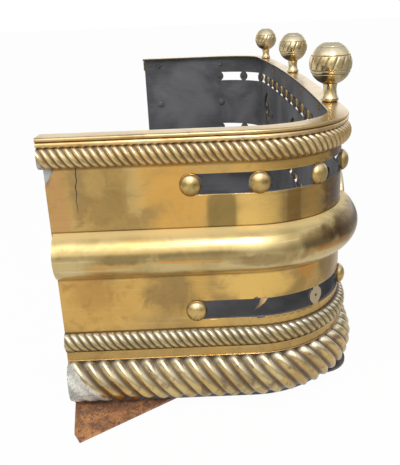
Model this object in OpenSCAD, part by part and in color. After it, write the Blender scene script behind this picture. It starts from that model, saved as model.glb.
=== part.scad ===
// Fire fender: a U-shaped, gently bowed hearth fender of sheet brass over a black iron
// lining, with two rows of pierced windows, a hollow half-round moulding, three cable
// mouldings, three pierced roundels and three ball finials.
// Left is -X, the bowed front faces -Y, the open back faces +Y and the floor is Z = 0.

/* [Plan] */
// Half the length of the wall, to its outer face
wall_half = 560; // [520:5:680]
// Depth of the wall, from the middle of the front to its back ends
wall_depth = 327; // [300:1:400]
// Outer radius of the two rounded front corners
corner_r = 110; // [95:1:125]
// Radius of the slight bow along the front
bow_r = 7600; // [6000:100:12000]

/* [Heights] */
// Height of the flat top rail above the floor
rail_top = 305; // [302:1:330]
// Middle of the upper cable moulding, below the rail's top
upper_rope_drop = 21.5; // [21:0.1:23]
// Middle of the upper window row, below the rail's top
upper_window_drop = 53.2; // [50:0.1:55]
// Middle of the big half-round moulding, above the floor
bolection_z = 181.3; // [178:0.1:184]
// Middle of the lower window row, above the floor
lower_window_z = 113.7; // [112:0.1:115]
// Middle of the lower cable moulding, above the floor
lower_rope_z = 81.5; // [80:0.1:83]
// Middle of the base cable moulding, above the floor
base_rope_z = 35.1; // [34:0.1:37]

/* [Sheets] */
// Thickness of the brass skin
skin_t = 1; // [0.8:0.1:1.4]
// Thickness of the iron lining
iron_t = 2; // [1.5:0.1:2.5]
// Clearance between pieces that lie against each other
seam = 0.15; // [0.1:0.05:0.25]

/* [Top rail] */
// How far the rail reaches inside the wall's outer face
rail_in = 16.4; // [14:0.1:20]
// How far the rail's bead stands outside the wall's outer face
rail_out = 6.8; // [6:0.1:8]
// Height of the rail's rounded outer bead
bead_h = 4.4; // [4:0.1:5]
// Thickness of the rail's brass cover
cover_t = 1.2; // [1:0.1:1.4]
// How far the rail and the upper cable run past the wall's back ends
rail_over = 3; // [1:0.5:6]
// How far the plain roll under the rail stands out
fascia_proud = 7.3; // [6:0.1:8]

/* [Cable mouldings] */
// Half the height of the upper cable
upper_rope_half = 10.7; // [9.5:0.1:10.9]
// How far the upper cable stands out
upper_rope_proud = 10.1; // [9:0.1:12]
// Distance between the strands of the upper cable
upper_rope_pitch = 8.8; // [8:0.1:12]
// Half the height of the lower cable
lower_rope_half = 10.8; // [9.5:0.1:11.5]
// How far the lower cable stands out
lower_rope_proud = 9.1; // [8:0.1:11]
// Distance between the strands of the lower cable
lower_rope_pitch = 10.1; // [9:0.1:13]
// Half the height of the base cable
base_rope_half = 25.6; // [24:0.1:26]
// How far the base cable stands out
base_rope_proud = 17.4; // [15:0.1:20]
// Distance between the strands of the base cable
base_rope_pitch = 16.6; // [15:0.1:22]
// How far the plain fillet above the base cable stands out
fillet_proud = 2.4; // [1.5:0.1:4]

/* [Half-round moulding] */
// Half the height of the half-round moulding
bolection_half = 25.4; // [23:0.1:26]
// How far the half-round moulding stands out
bolection_proud = 20.8; // [17:0.1:22]
// Thickness of the rolled sheet of the half-round moulding
bolection_t = 1.4; // [1:0.1:2]
// How far the half-round moulding stops short of the wall's back ends
bolection_short = 2; // [0:0.5:5]

/* [Windows and studs] */
// Number of ball studs in a full row
stud_count = 20; // [16:1:20]
// Distance between studs along the wall
stud_pitch = 68.9; // [66:0.1:70]
// How far the rows sit towards the left end
row_shift = 29; // [0:1:35]
// Height of the windows
window_h = 21.6; // [19:0.1:22]
// Diameter of the disc left standing between two windows
disc_d = 19; // [17:0.1:19]
// Width of the neck that joins a disc to the wall
neck_w = 9; // [7:0.1:11]
// Radius of a stud's dome
stud_r = 10.3; // [9:0.1:11]
// Diameter of a stud's shank
stud_shank_d = 5; // [4:0.1:6]
// Diameter of the riveted-over tail of a stud
stud_tail_d = 9; // [8:0.1:11]

/* [Roundels] */
// Outer radius of a roundel's rim
roundel_r = 48; // [46:0.5:50]
// Width of a roundel's rim
rim_w = 7.5; // [7:0.1:8.5]
// How far a roundel's rim stands out
rim_proud = 10; // [8:0.1:12]
// Distance of the outer roundels and finials from the ends of the bow
roundel_inset = 62; // [56:1:120]
// Number of petal openings in a roundel
petal_count = 8; // [6:1:8]
// Length of a petal opening
petal_l = 21; // [18:0.5:22]
// Width of a petal opening
petal_w = 9; // [7:0.5:10]
// Radius of the domed boss in a roundel's middle
boss_r = 13; // [11:0.5:14]

/* [Finials] */
// Diameter of a finial's ball
ball_d = 50.8; // [46:0.2:56]
// Height of a ball's middle above the rail
ball_rise = 45.1; // [44:0.1:50]
// Radius of the flat seat under a ball
ball_seat_r = 9; // [8:0.1:9.5]
// Radius of the widest part of a stem's foot
foot_r = 10.6; // [10:0.1:11.5]
// Radius of a stem's waist
waist_r = 7.8; // [7:0.1:8.5]
// Diameter of the threaded rod through a finial
rod_d = 6; // [5:0.1:7]
// How far the finials stand inside the wall's outer face
finial_in = 4.6; // [4.4:0.1:6]

/* [Iron base] */
// Thickness of the foot plates
foot_t = 3; // [2.5:0.1:4]
// Thickness of the base angle
angle_t = 3; // [2.5:0.1:3.5]
// Thickness of the iron bottom plate, which lies on the base angle
plate_t = 2; // [1.5:0.1:3]
// Width of the base angle's flat leg
angle_leg = 21; // [18:1:26]
// Height of the base angle's upright leg
angle_h = 24; // [20:1:30]
// How far the back foot plates stick out past the wall
foot_reach = 64; // [50:1:70]
// How far the back foot plates reach in under the base angle
foot_plate_in = 42; // [32:1:50]
// Length of the back foot plates along the returns
foot_plate_l = 142; // [120:1:160]
// Radius of the round foot under each front corner
corner_foot_r = 37; // [34:1:40]

/* [Rivets] */
// Diameter of a rivet's shank
rivet_d = 4; // [3:0.1:5]
// Diameter of a small rivet's or screw's head
rivet_head_d = 9; // [8:0.1:11]
// Height of a small rivet's or screw's head
rivet_head_h = 2.4; // [1.8:0.1:3]
// Diameter of the round heads behind the upper cable and the half-round moulding
big_head_d = 12.6; // [11:0.1:14]
// Height of the round heads behind the upper cable and the half-round moulding
big_head_h = 3.8; // [3:0.1:4.5]
// Distance of the last rivets from the wall's back ends
rivet_end = 37; // [25:1:60]
// Distance of the second rivets from the wall's back ends
rivet_step = 204; // [150:1:210]
// Clearance round a shank in its hole
shank_play = 0.1; // [0.05:0.05:0.2]

/* [Hidden] */

brass = [0.79, 0.65, 0.36];
pale_brass = [0.86, 0.75, 0.48];
black_iron = [0.22, 0.22, 0.23];
rusty_iron = [0.55, 0.34, 0.20];

// How finely round shapes are drawn
bow_fn = 1440;
corner_fn = 144;
round_fn = 48;
small_fn = 24;

// The wall's path: a bow along the front, two round corners and two straight returns.
// A place on it is its distance t from the middle of the front, positive to the left.
bow_turn = asin((wall_half - corner_r) / (bow_r - corner_r));
bow_len = bow_r * bow_turn * PI / 180;
corner_len = corner_r * (90 - bow_turn) * PI / 180;
turn_end = bow_len + corner_len;
corner_x = wall_half - corner_r;
corner_y = bow_r - (bow_r - corner_r) * cos(bow_turn);
wall_end = turn_end + wall_depth - corner_y;
roundel_t = bow_len - roundel_inset;
// How far the corners are nested in the bow, and how much thinner they are on each face
nesting = 0.8;
hair = 0.02;

// Offsets from the wall's outer face, positive outwards
skin_back = -skin_t;
iron_face = skin_back - seam;
iron_back = iron_face - iron_t;
angle_face = iron_back - seam;
angle_back = angle_face - angle_t;
angle_in = angle_face - angle_leg;
plate_edge = angle_back - seam;

// The whole fender is centred front to back on its overall depth
roundel_cut_r = roundel_r + 2 * seam;
bolection_tip = (bow_r + bolection_proud) * cos(asin(roundel_cut_r / bow_r)) - bow_r;
front_y = (bolection_tip - wall_depth - rail_over) / 2;

// Heights
angle_z = foot_t;
plate_z = angle_z + angle_t + seam;
plate_top = plate_z + plate_t;
lining_z = angle_z;
sheet_top = rail_top - bead_h;
bar_t = bead_h - cover_t - seam;
upper_rope_z = rail_top - upper_rope_drop;
upper_window_z = rail_top - upper_window_drop;
base_rope_top = base_rope_z + base_rope_half;
fascia_top = sheet_top - seam;
fascia_bottom = upper_rope_z + upper_rope_half + seam;

// The half-round moulding is a circle that passes through its edges and its crest
bolection_arc = (pow(bolection_half, 2) + pow(bolection_proud, 2)) / (2 * bolection_proud);

// Stud places along the wall; the lower row has lost its third stud, and with its
// second stud it has lost the disc that held it
stud_list = [for (k = [0 : stud_count - 1]) k];
lost_disc = 1;
lost_stud = 2;
lower_disc_list = [for (k = stud_list) if (k != lost_disc) k];
lower_stud_list = [for (k = lower_disc_list) if (k != lost_stud) k];
function stud_t(k) = row_shift + ((stud_count - 1) / 2 - k) * stud_pitch;

roundel_places = [roundel_t, 0, -roundel_t];
roundel_rivet_r = roundel_r - rim_w / 2;
roundel_hole_r = roundel_r - rim_w + 0.5;
roundel_lift = 2 * seam;
petal_mid = boss_r + 2 + petal_l / 2;

// Rivet and screw places along the wall
by_roundel = roundel_r + rivet_end + 5;
front_screw = roundel_t * 0.49;
end_rivets = [wall_end - rivet_end, wall_end - rivet_step];
bolection_rivet_half = concat(end_rivets,
    [turn_end - corner_len / 2, roundel_t - by_roundel, by_roundel]);
rope_rivet_half = concat(end_rivets, [bow_len]);
rail_screw_half = [1.5 * front_screw, 0.5 * front_screw];
base_rivet_half = concat(rope_rivet_half, rail_screw_half);
bolection_rivet_list = concat(bolection_rivet_half, -bolection_rivet_half);
rope_rivet_list = concat(rope_rivet_half, -rope_rivet_half);
rail_screw_list = concat(rail_screw_half, -rail_screw_half);
base_rivet_list = concat(base_rivet_half, -base_rivet_half);
base_rivet_z = angle_z + angle_h * 0.6;

// Finial heights
seat_rise = ball_rise - sqrt(pow(ball_d / 2, 2) - pow(ball_seat_r, 2));
rod_up = ball_rise - ball_d / 8;
rod_play = 0.2;

// Corner feet and foot plates
corner_foot_t = bow_len + corner_len * 0.175;
corner_foot_in = -angle_in;
corner_rivet_gap = corner_foot_r / 3;
foot_rivet_off = angle_face - angle_leg * 0.6;
foot_rivet_list = [wall_end - foot_plate_l * 0.2, wall_end - foot_plate_l * 0.75,
    corner_foot_t + corner_rivet_gap, corner_foot_t - corner_rivet_gap];

// Turn of the wall's outward direction at t, in degrees, from -Y towards the left
function wall_turn(t) =
    let (s = abs(t), turned = s < bow_len ? s / bow_r * 180 / PI
        : s < turn_end ? bow_turn + (s - bow_len) / corner_r * 180 / PI : 90)
    sign(t) * turned;

// Point at t along the wall and off outwards from its outer face
function wall_point(t, off) =
    let (s = abs(t), side = t < 0 ? 1 : -1, a = abs(wall_turn(t)))
    s < bow_len ? [side * (bow_r + off) * sin(a), front_y + bow_r - (bow_r + off) * cos(a)]
    : s < turn_end ? [side * (corner_x + (corner_r + off) * sin(a)),
        front_y + corner_y - (corner_r + off) * cos(a)]
    : [side * (wall_half + off), front_y + corner_y + s - turn_end];

// Places a child on the wall's outer face at t and height z, its outward side at -Y
module on_wall(t, z) {
    p = wall_point(t, 0);
    translate([p.x, p.y, z]) rotate([0, 0, -wall_turn(t)]) children();
}

// Carries a profile, with X outwards and Y up, along the left half from t = a to b.
// The corner starts a little inside the bow, a hair thinner all round, so that the two
// overlap cleanly where they run into each other.
module along_left(a, b) {
    $hair = 0;
    if (a < bow_len)
        mirror([1, 0, 0])
            translate([0, front_y + bow_r, 0])
                rotate([0, 0, 270 + a / bow_r * 180 / PI])
                    rotate_extrude(angle = (min(b, bow_len) - a) / bow_r * 180 / PI,
                        $fn = bow_fn)
                        translate([bow_r, 0]) children();
    c0 = max(a, bow_len - nesting);
    c1 = min(b, turn_end);
    if (c1 > bow_len)
        translate([-corner_x, front_y + corner_y, 0])
            rotate([0, 0, 270 - wall_turn(c1)])
                rotate_extrude(angle = (c1 - c0) / corner_r * 180 / PI, $fn = corner_fn)
                    translate([corner_r, 0]) union() {
                        $hair = hair;
                        children();
                    }
    r0 = max(a, turn_end);
    if (b > r0)
        translate([-wall_half, front_y + corner_y + r0 - turn_end, 0])
            rotate([90, 0, 180])
                linear_extrude(height = b - r0) union() {
                    $hair = hair;
                    children();
                }
}

// Carries a profile along the wall from t = a to b, where a < b
module along_wall(a, b) {
    if (b > 0)
        along_left(max(a, 0), b) children();
    if (a < 0)
        mirror([1, 0, 0]) along_left(max(-b, 0), -a) children();
}

// Rectangle of a profile, between two offsets and two heights
module strip(off0, off1, z0, z1) {
    translate([off0 + $hair, z0 + $hair])
        square([off1 - off0 - 2 * $hair, z1 - z0 - 2 * $hair]);
}

// Round part of a profile
module disc(off, z, r) {
    translate([off, z]) circle(r = r - $hair, $fn = round_fn);
}

// Cylinder through the wall at t and height z, from one offset to another
module wall_pin(t, z, d, off0, off1) {
    on_wall(t, z)
        translate([0, -off0, 0]) rotate([90, 0, 0])
            cylinder(h = off1 - off0, d = d, $fn = small_fn);
}

// Low dome with its flat side at an offset, swelling inwards or outwards
module dome(t, z, d, h, off, way) {
    arc = (pow(d / 2, 2) + pow(h, 2)) / (2 * h);
    on_wall(t, z)
        translate([0, -off, 0]) rotate([way * 90, 0, 0])
            rotate_extrude($fn = small_fn)
                intersection() {
                    translate([0, h - arc]) circle(r = arc, $fn = round_fn);
                    square([d, h]);
                }
}

// What a row of windows takes out of a sheet: a slot along the wall, less the discs
// and necks that stay standing between the windows
module window_row(z, discs) {
    reach = 4;
    difference() {
        along_wall(stud_t(stud_count - 1), stud_t(0))
            strip(iron_back - reach, reach, z - window_h / 2, z + window_h / 2);
        for (k = discs) {
            wall_pin(stud_t(k), z, disc_d, iron_back - 2 * reach, 2 * reach);
            on_wall(stud_t(k), z)
                translate([-neck_w / 2, -2 * reach, -window_h])
                    cube([neck_w, 4 * reach - iron_back, 2 * window_h]);
        }
    }
}

// Every opening through the iron lining and the brass skin
module wall_openings() {
    reach = 2;
    through0 = iron_back - reach;
    window_row(upper_window_z, stud_list);
    window_row(lower_window_z, lower_disc_list);
    for (k = stud_list)
        wall_pin(stud_t(k), upper_window_z, stud_shank_d + 2 * shank_play, through0, reach);
    for (k = lower_disc_list)
        wall_pin(stud_t(k), lower_window_z, stud_shank_d + 2 * shank_play, through0, reach);
    for (t = roundel_places) {
        on_wall(t, bolection_z)
            translate([0, reach - iron_back, 0]) rotate([90, 0, 0])
                cylinder(h = 2 * reach - iron_back, r = roundel_hole_r, $fn = round_fn);
        roundel_rivet_places(t) cylinder(h = 4 * reach - iron_back,
            d = rivet_d + 2 * shank_play, center = true, $fn = small_fn);
    }
    for (t = bolection_rivet_list)
        wall_pin(t, bolection_z, rivet_d + 2 * shank_play, through0, reach);
    for (t = concat(rope_rivet_list, rail_screw_list))
        wall_pin(t, upper_rope_z, rivet_d + 2 * shank_play, through0, reach);
    for (t = base_rivet_list)
        wall_pin(t, base_rivet_z, rivet_d + 2 * shank_play, angle_back - reach, reach);
}

// Four places round a roundel's rim, with Z pointing outwards
module roundel_rivet_places(t) {
    on_wall(t, bolection_z) rotate([90, 0, 0])
        for (k = [0 : 3])
            rotate([0, 0, 45 + 90 * k]) translate([roundel_rivet_r, 0, 0]) children();
}

// Black iron sheet that stiffens the skin from inside
module iron_lining() {
    color(black_iron)
        difference() {
            along_wall(-wall_end, wall_end) strip(iron_back, iron_face, lining_z, sheet_top);
            wall_openings();
        }
}

// Sheet brass skin, pierced by the same windows
module brass_skin() {
    color(brass)
        difference() {
            along_wall(-wall_end, wall_end)
                strip(skin_back, 0, base_rope_z - base_rope_half, sheet_top);
            wall_openings();
        }
}

// Flat iron bar under the rail's cover, bare along its inner edge, which the finials
// screw into
module rail_bar() {
    color(black_iron)
        difference() {
            along_wall(-wall_end - rail_over + seam, wall_end + rail_over - seam)
                strip(2 * seam - rail_in, rail_out - bead_h, sheet_top + seam,
                    sheet_top + bar_t);
            for (t = roundel_places)
                finial_place(t, 0) cylinder(h = 3 * bead_h, d = rod_d + rod_play,
                    center = true, $fn = small_fn);
        }
}

// Brass cover of the rail: a flat top with a rounded bead along its outer edge
module top_rail() {
    bead_r = bead_h / 2;
    color(pale_brass)
        difference() {
            along_wall(-wall_end - rail_over, wall_end + rail_over) {
                strip(-rail_in, rail_out - bead_r + $hair, rail_top - cover_t, rail_top);
                disc(rail_out - bead_r, rail_top - bead_r, bead_r);
            }
            for (t = roundel_places)
                finial_place(t, 0) cylinder(h = 3 * bead_h, d = rod_d + rod_play,
                    center = true, $fn = small_fn);
        }
}

// Plain brass roll between the rail and the upper cable
module rail_fascia() {
    roll_r = (fascia_top - fascia_bottom) / 2;
    color(brass)
        along_wall(-wall_end - rail_over, wall_end + rail_over) {
            strip(seam, fascia_proud - roll_r + $hair, fascia_bottom, fascia_top);
            disc(fascia_proud - roll_r, fascia_bottom + roll_r, roll_r);
        }
}

// Cable moulding: a half-round whose strands climb to the left as they rise.
// Points lie on lines along the strands, lines of them to a strand, so that each
// line keeps to a crest, a flank or a groove all the way up. A line ends climb strands
// further along than it starts, and the flat back joins the edges straight up and down.
module cable(z, half, proud, pitch, over, climb, groove, lines, steps) {
    reach = wall_end + over;
    columns = lines * round(2 * reach / pitch);
    ahead = round(lines * climb);
    lean = ahead * reach / columns;
    row = steps + 1;
    points = [
        for (i = [0 : columns])
            let (swell = abs(cos(180 * (i % lines) / lines)), r = 1 - groove * (1 - swell),
                c = -reach + 2 * reach * i / columns,
                slant = lean * min(1, (reach - abs(c)) / (2 * lean)))
            for (j = [0 : steps])
                let (a = -90 + 180 * j / steps,
                    p = wall_point(c + slant * sin(a), seam + (proud - seam) * r * cos(a)))
                [p.x, p.y, z + half * r * sin(a)]
    ];
    function low(i) = row * max(0, min(columns, i));
    function high(i) = low(i) + steps;
    faces = concat(
        [for (i = [0 : columns - 1], j = [0 : steps - 1])
            [low(i) + j, low(i + 1) + j, low(i + 1) + j + 1]],
        [for (i = [0 : columns - 1], j = [0 : steps - 1])
            [low(i) + j, low(i + 1) + j + 1, low(i) + j + 1]],
        [for (i = [0 : columns - 1]) [low(i), high(i - ahead), low(i + 1)]],
        [for (i = [0 : columns - 1 - ahead])
            [low(i + ahead + 1), high(i), high(i + 1)]],
        [for (i = [columns - ahead : columns - 1]) [low(columns), high(i), high(i + 1)]],
        [for (j = [1 : steps - 1]) [0, j, j + 1]],
        [for (j = [1 : steps - 1])
            [low(columns), low(columns) + j + 1, low(columns) + j]]
    );
    polyhedron(points = points, faces = faces, convexity = 12);
}

module upper_rope() {
    color(brass)
        cable(upper_rope_z, upper_rope_half, upper_rope_proud, upper_rope_pitch,
            rail_over, 1.5, 0.24, 2, 4);
}

module lower_rope() {
    color(brass)
        cable(lower_rope_z, lower_rope_half, lower_rope_proud, lower_rope_pitch,
            0, 1.5, 0.24, 2, 4);
}

module base_rope() {
    color(brass)
        cable(base_rope_z, base_rope_half, base_rope_proud, base_rope_pitch,
            0, 2, 0.25, 4, 6);
}

// Plain strip between the lower cable and the base cable
module base_fillet() {
    color(brass)
        along_wall(-wall_end, wall_end)
            strip(seam, fillet_proud, base_rope_top + seam,
                lower_rope_z - lower_rope_half - seam);
}

// Length of the hollow half-round moulding; its ends that meet a roundel are cut round
module bolection(a, b) {
    color(pale_brass)
        difference() {
            along_wall(a, b)
                intersection() {
                    translate([bolection_proud - bolection_arc, bolection_z])
                        difference() {
                            circle(r = bolection_arc - 6 * $hair, $fn = round_fn);
                            circle(r = bolection_arc - bolection_t + 6 * $hair,
                                $fn = round_fn);
                        }
                    strip(seam, 2 * bolection_proud, bolection_z - 2 * bolection_half,
                        bolection_z + 2 * bolection_half);
                }
            for (t = roundel_places)
                on_wall(t, bolection_z)
                    translate([0, roundel_r, 0]) rotate([90, 0, 0])
                        cylinder(h = 2 * roundel_r, r = roundel_cut_r, $fn = round_fn);
        }
}

module bolection_left() {
    bolection(roundel_t, wall_end - bolection_short);
}

module bolection_front_left() {
    bolection(0, roundel_t);
}

module bolection_front_right() {
    mirror([1, 0, 0]) bolection_front_left();
}

module bolection_right() {
    mirror([1, 0, 0]) bolection_left();
}

// Domed stud on a disc between two windows, riveted over inside the lining
module ball_stud(t, z) {
    dome(t, z, 2 * stud_r, stud_r, seam, 1);
    wall_pin(t, z, stud_shank_d, iron_back - 2 * seam, 2 * seam);
    dome(t, z, stud_tail_d, rivet_head_h, iron_back - seam, -1);
}

module upper_ball_studs() {
    color(pale_brass)
        for (k = stud_list)
            ball_stud(stud_t(k), upper_window_z);
}

module lower_ball_studs() {
    color(pale_brass)
        for (k = lower_stud_list)
            ball_stud(stud_t(k), lower_window_z);
}

// Pierced roundel: a rounded rim, a flat web with petal openings and a domed boss
module roundel(t) {
    web_t = 1.6;
    web_r = roundel_r - rim_w / 2;
    boss_arc = (pow(boss_r, 2) + pow(rim_proud, 2)) / (2 * rim_proud);
    petal_arc = (pow(petal_l / 2, 2) + pow(petal_w / 2, 2)) / petal_w;
    color(pale_brass)
        on_wall(t, bolection_z)
            translate([0, -roundel_lift, 0]) rotate([90, 0, 0]) {
                difference() {
                    cylinder(h = web_t, r = web_r, $fn = round_fn);
                    for (k = [0 : petal_count - 1])
                        rotate([0, 0, (k + 0.5) * 360 / petal_count])
                            translate([petal_mid, 0, -web_t])
                                linear_extrude(height = 3 * web_t)
                                    intersection() {
                                        translate([0, petal_arc - petal_w / 2])
                                            circle(r = petal_arc, $fn = round_fn);
                                        translate([0, petal_w / 2 - petal_arc])
                                            circle(r = petal_arc, $fn = round_fn);
                                    }
                }
                rotate_extrude($fn = 2 * round_fn) {
                    translate([roundel_r - rim_w, 0])
                        square([rim_w, rim_proud - rim_w / 2]);
                    translate([roundel_r - rim_w / 2, rim_proud - rim_w / 2])
                        circle(d = rim_w, $fn = small_fn);
                }
                rotate_extrude($fn = round_fn)
                    intersection() {
                        translate([0, rim_proud - boss_arc])
                            circle(r = boss_arc, $fn = round_fn);
                        square([boss_r, rim_proud]);
                    }
            }
}

module roundel_left() {
    roundel(roundel_t);
}

module roundel_centre() {
    roundel(0);
}

module roundel_right() {
    roundel(-roundel_t);
}

// Rivets that hold the roundels, headed inside the lining
module roundel_rivets() {
    color(black_iron)
        for (t = roundel_places)
            roundel_rivet_places(t)
                translate([0, 0, iron_back - seam]) {
                    cylinder(h = roundel_lift - iron_back, d = rivet_d, $fn = small_fn);
                    rivet_head();
                }
}

// Rivet head that swells towards -Z
module rivet_head() {
    arc = (pow(rivet_head_d / 2, 2) + pow(rivet_head_h, 2)) / (2 * rivet_head_h);
    rotate([180, 0, 0])
        rotate_extrude($fn = small_fn)
            intersection() {
                translate([0, rivet_head_h - arc]) circle(r = arc, $fn = round_fn);
                square([rivet_head_d, rivet_head_h]);
            }
}

// Rivet through the sheets at t and height z, with its head at the given inner offset
module wall_rivet(t, z, head_off, head_d, head_h) {
    wall_pin(t, z, rivet_d, head_off - 2 * seam, seam / 2);
    dome(t, z, head_d, head_h, head_off - seam, -1);
}

// Screws that hold the rail and the upper cable along the front
module rail_screws() {
    color(rusty_iron)
        for (t = rail_screw_list)
            wall_rivet(t, upper_rope_z, iron_back, rivet_head_d, rivet_head_h);
}

module rope_rivets() {
    color(black_iron)
        for (t = rope_rivet_list)
            wall_rivet(t, upper_rope_z, iron_back, big_head_d, big_head_h);
}

// Rivets behind the half-round moulding
module bolection_rivets() {
    color(black_iron)
        for (t = bolection_rivet_list)
            wall_rivet(t, bolection_z, iron_back, big_head_d, big_head_h);
}

// Places a child on the rail's centre line over the wall at t, rise above the rail
module finial_place(t, rise) {
    p = wall_point(t, -finial_in);
    translate([p.x, p.y, rail_top + rise]) children();
}

// Ball of a finial, with a flattened crown, turned lines and a flat seat underneath
module finial_ball(t) {
    line_r = 0.8;
    crown = ball_d / 2 - 1.6;
    line_angles = [48, 21, -18, -28];
    color(pale_brass)
        finial_place(t, ball_rise)
            difference() {
                rotate_extrude($fn = 2 * round_fn)
                    difference() {
                        intersection() {
                            circle(d = ball_d, $fn = 2 * round_fn);
                            translate([0, seat_rise - ball_rise])
                                square([ball_d, ball_rise - seat_rise + crown]);
                        }
                        for (a = line_angles)
                            rotate([0, 0, a]) translate([ball_d / 2 + line_r / 3, 0])
                                circle(r = line_r, $fn = small_fn);
                    }
                translate([0, 0, -ball_d])
                    cylinder(h = ball_d + rod_up - ball_rise + 1, d = rod_d + rod_play,
                        $fn = small_fn);
            }
}

// Waisted stem of a finial, from its round foot on the rail to the ball's seat
module finial_stem(t) {
    foot_z = 4;
    waist_z = (foot_z + seat_rise) * 0.58;
    foot_low = foot_r - 1.8;
    flare = (pow(seat_rise - waist_z, 2) + pow(ball_seat_r - waist_r, 2))
        / (2 * (ball_seat_r - waist_r));
    sweep = (pow(waist_z - foot_z, 2) + pow(foot_r - waist_r, 2)) / (2 * (foot_r - waist_r));
    color(pale_brass)
        finial_place(t, seam)
            rotate_extrude($fn = 2 * round_fn)
                difference() {
                    polygon([[rod_d / 2 + rod_play, 0], [foot_low, 0],
                        [foot_r, foot_z * 0.55], [foot_r, foot_z],
                        [foot_r, waist_z], [foot_r, seat_rise - 2 * seam],
                        [rod_d / 2 + rod_play, seat_rise - 2 * seam]]);
                    intersection() {
                        translate([waist_r + sweep, waist_z])
                            circle(r = sweep, $fn = 4 * round_fn);
                        square([2 * foot_r, waist_z]);
                    }
                    intersection() {
                        translate([waist_r + flare, waist_z])
                            circle(r = flare, $fn = 4 * round_fn);
                        translate([0, waist_z]) square([2 * foot_r, seat_rise]);
                    }
                }
}

// Threaded rod that ties a ball and its stem to the bar in the rail
module finial_rod(t) {
    color(black_iron)
        finial_place(t, sheet_top + seam - rail_top)
            cylinder(h = rail_top - sheet_top - seam + rod_up, d = rod_d, $fn = small_fn);
}

module finial_ball_left() {
    finial_ball(roundel_t);
}

module finial_ball_centre() {
    finial_ball(0);
}

module finial_ball_right() {
    finial_ball(-roundel_t);
}

module finial_stem_left() {
    finial_stem(roundel_t);
}

module finial_stem_centre() {
    finial_stem(0);
}

module finial_stem_right() {
    finial_stem(-roundel_t);
}

module finial_rod_left() {
    finial_rod(roundel_t);
}

module finial_rod_centre() {
    finial_rod(0);
}

module finial_rod_right() {
    finial_rod(-roundel_t);
}

// Angle iron round the foot of the lining
module base_angle() {
    color(black_iron)
        difference() {
            along_wall(-wall_end, wall_end) {
                strip(angle_in, angle_face, angle_z, angle_z + angle_t);
                strip(angle_back, angle_face, angle_z, angle_z + angle_h);
            }
            for (t = base_rivet_list)
                wall_pin(t, base_rivet_z, rivet_d + 2 * shank_play, angle_back - 2,
                    angle_face + 1);
            foot_rivet_holes();
        }
}

// Rivets that tie the base cable and the skin to the angle iron
module base_rivets() {
    color(black_iron)
        for (t = base_rivet_list)
            wall_rivet(t, base_rivet_z, angle_back, rivet_head_d, rivet_head_h);
}

// Places a child on the floor where the feet are riveted to the angle iron
module foot_rivet_places() {
    for (s = [-1, 1], t = foot_rivet_list) {
        p = wall_point(s * t, foot_rivet_off);
        translate([p.x, p.y, 0]) children();
    }
}

module foot_rivet_holes() {
    foot_rivet_places()
        translate([0, 0, -1])
            cylinder(h = plate_top + 2, d = rivet_d + 2 * shank_play, $fn = small_fn);
}

// Iron bottom plate: it fills the floor inside the upright leg of the base angle
module bottom_plate() {
    bow_steps = 20;
    corner_steps = 18;
    places = concat([for (k = [0 : bow_steps]) bow_len * k / bow_steps],
        [for (k = [1 : corner_steps]) bow_len + corner_len * k / corner_steps], [wall_end]);
    left_edge = [for (t = places) wall_point(t, plate_edge)];
    right_edge = [for (k = [len(places) - 1 : -1 : 1]) wall_point(-places[k], plate_edge)];
    color(black_iron)
        difference() {
            translate([0, 0, plate_z])
                linear_extrude(height = plate_t)
                    polygon(concat(left_edge, right_edge));
            foot_rivet_holes();
        }
}

// Triangular iron plate that steadies the back end of the left return
module foot_plate() {
    inner_x = -wall_half + foot_plate_in;
    back_y = front_y + wall_depth;
    tip_x = -wall_half - foot_reach;
    span = inner_x - tip_x;
    long = foot_plate_l;
    color(rusty_iron)
        difference() {
            linear_extrude(height = foot_t - seam)
                polygon([[inner_x, back_y], [tip_x + 0.68 * span, back_y],
                    [tip_x + 0.13 * span, back_y - 0.07 * long],
                    [tip_x, back_y - 0.127 * long],
                    [tip_x + 0.62 * span, back_y - 0.754 * long],
                    [tip_x + 0.87 * span, back_y - long], [inner_x, back_y - long]]);
            foot_rivet_holes();
        }
}

module foot_plate_left() {
    foot_plate();
}

module foot_plate_right() {
    mirror([1, 0, 0]) foot_plate();
}

// Round iron foot under the left front corner
module corner_foot() {
    p = wall_point(corner_foot_t, -corner_foot_in);
    color(black_iron)
        difference() {
            translate([p.x, p.y, 0])
                cylinder(h = foot_t - seam, r = corner_foot_r, $fn = 2 * round_fn);
            foot_rivet_holes();
        }
}

module corner_foot_left() {
    corner_foot();
}

module corner_foot_right() {
    mirror([1, 0, 0]) corner_foot();
}

// Rivets through the feet, the angle iron and the bottom plate, headed on the plate
module foot_rivets() {
    color(rusty_iron)
        foot_rivet_places() {
            translate([0, 0, 0.5])
                cylinder(h = plate_top, d = rivet_d, $fn = small_fn);
            translate([0, 0, plate_top + seam]) rotate([180, 0, 0]) rivet_head();
        }
}

iron_lining();
brass_skin();
rail_bar();
top_rail();
rail_fascia();
upper_rope();
lower_rope();
base_fillet();
base_rope();
bolection_left();
bolection_front_left();
bolection_front_right();
bolection_right();
upper_ball_studs();
lower_ball_studs();
roundel_left();
roundel_centre();
roundel_right();
roundel_rivets();
finial_ball_left();
finial_ball_centre();
finial_ball_right();
finial_stem_left();
finial_stem_centre();
finial_stem_right();
finial_rod_left();
finial_rod_centre();
finial_rod_right();
rail_screws();
rope_rivets();
bolection_rivets();
base_angle();
base_rivets();
bottom_plate();
foot_plate_left();
foot_plate_right();
corner_foot_left();
corner_foot_right();
foot_rivets();
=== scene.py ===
import math

import bpy
import numpy as np
from mathutils import Matrix, Vector
from mathutils.geometry import delaunay_2d_cdt


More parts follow.
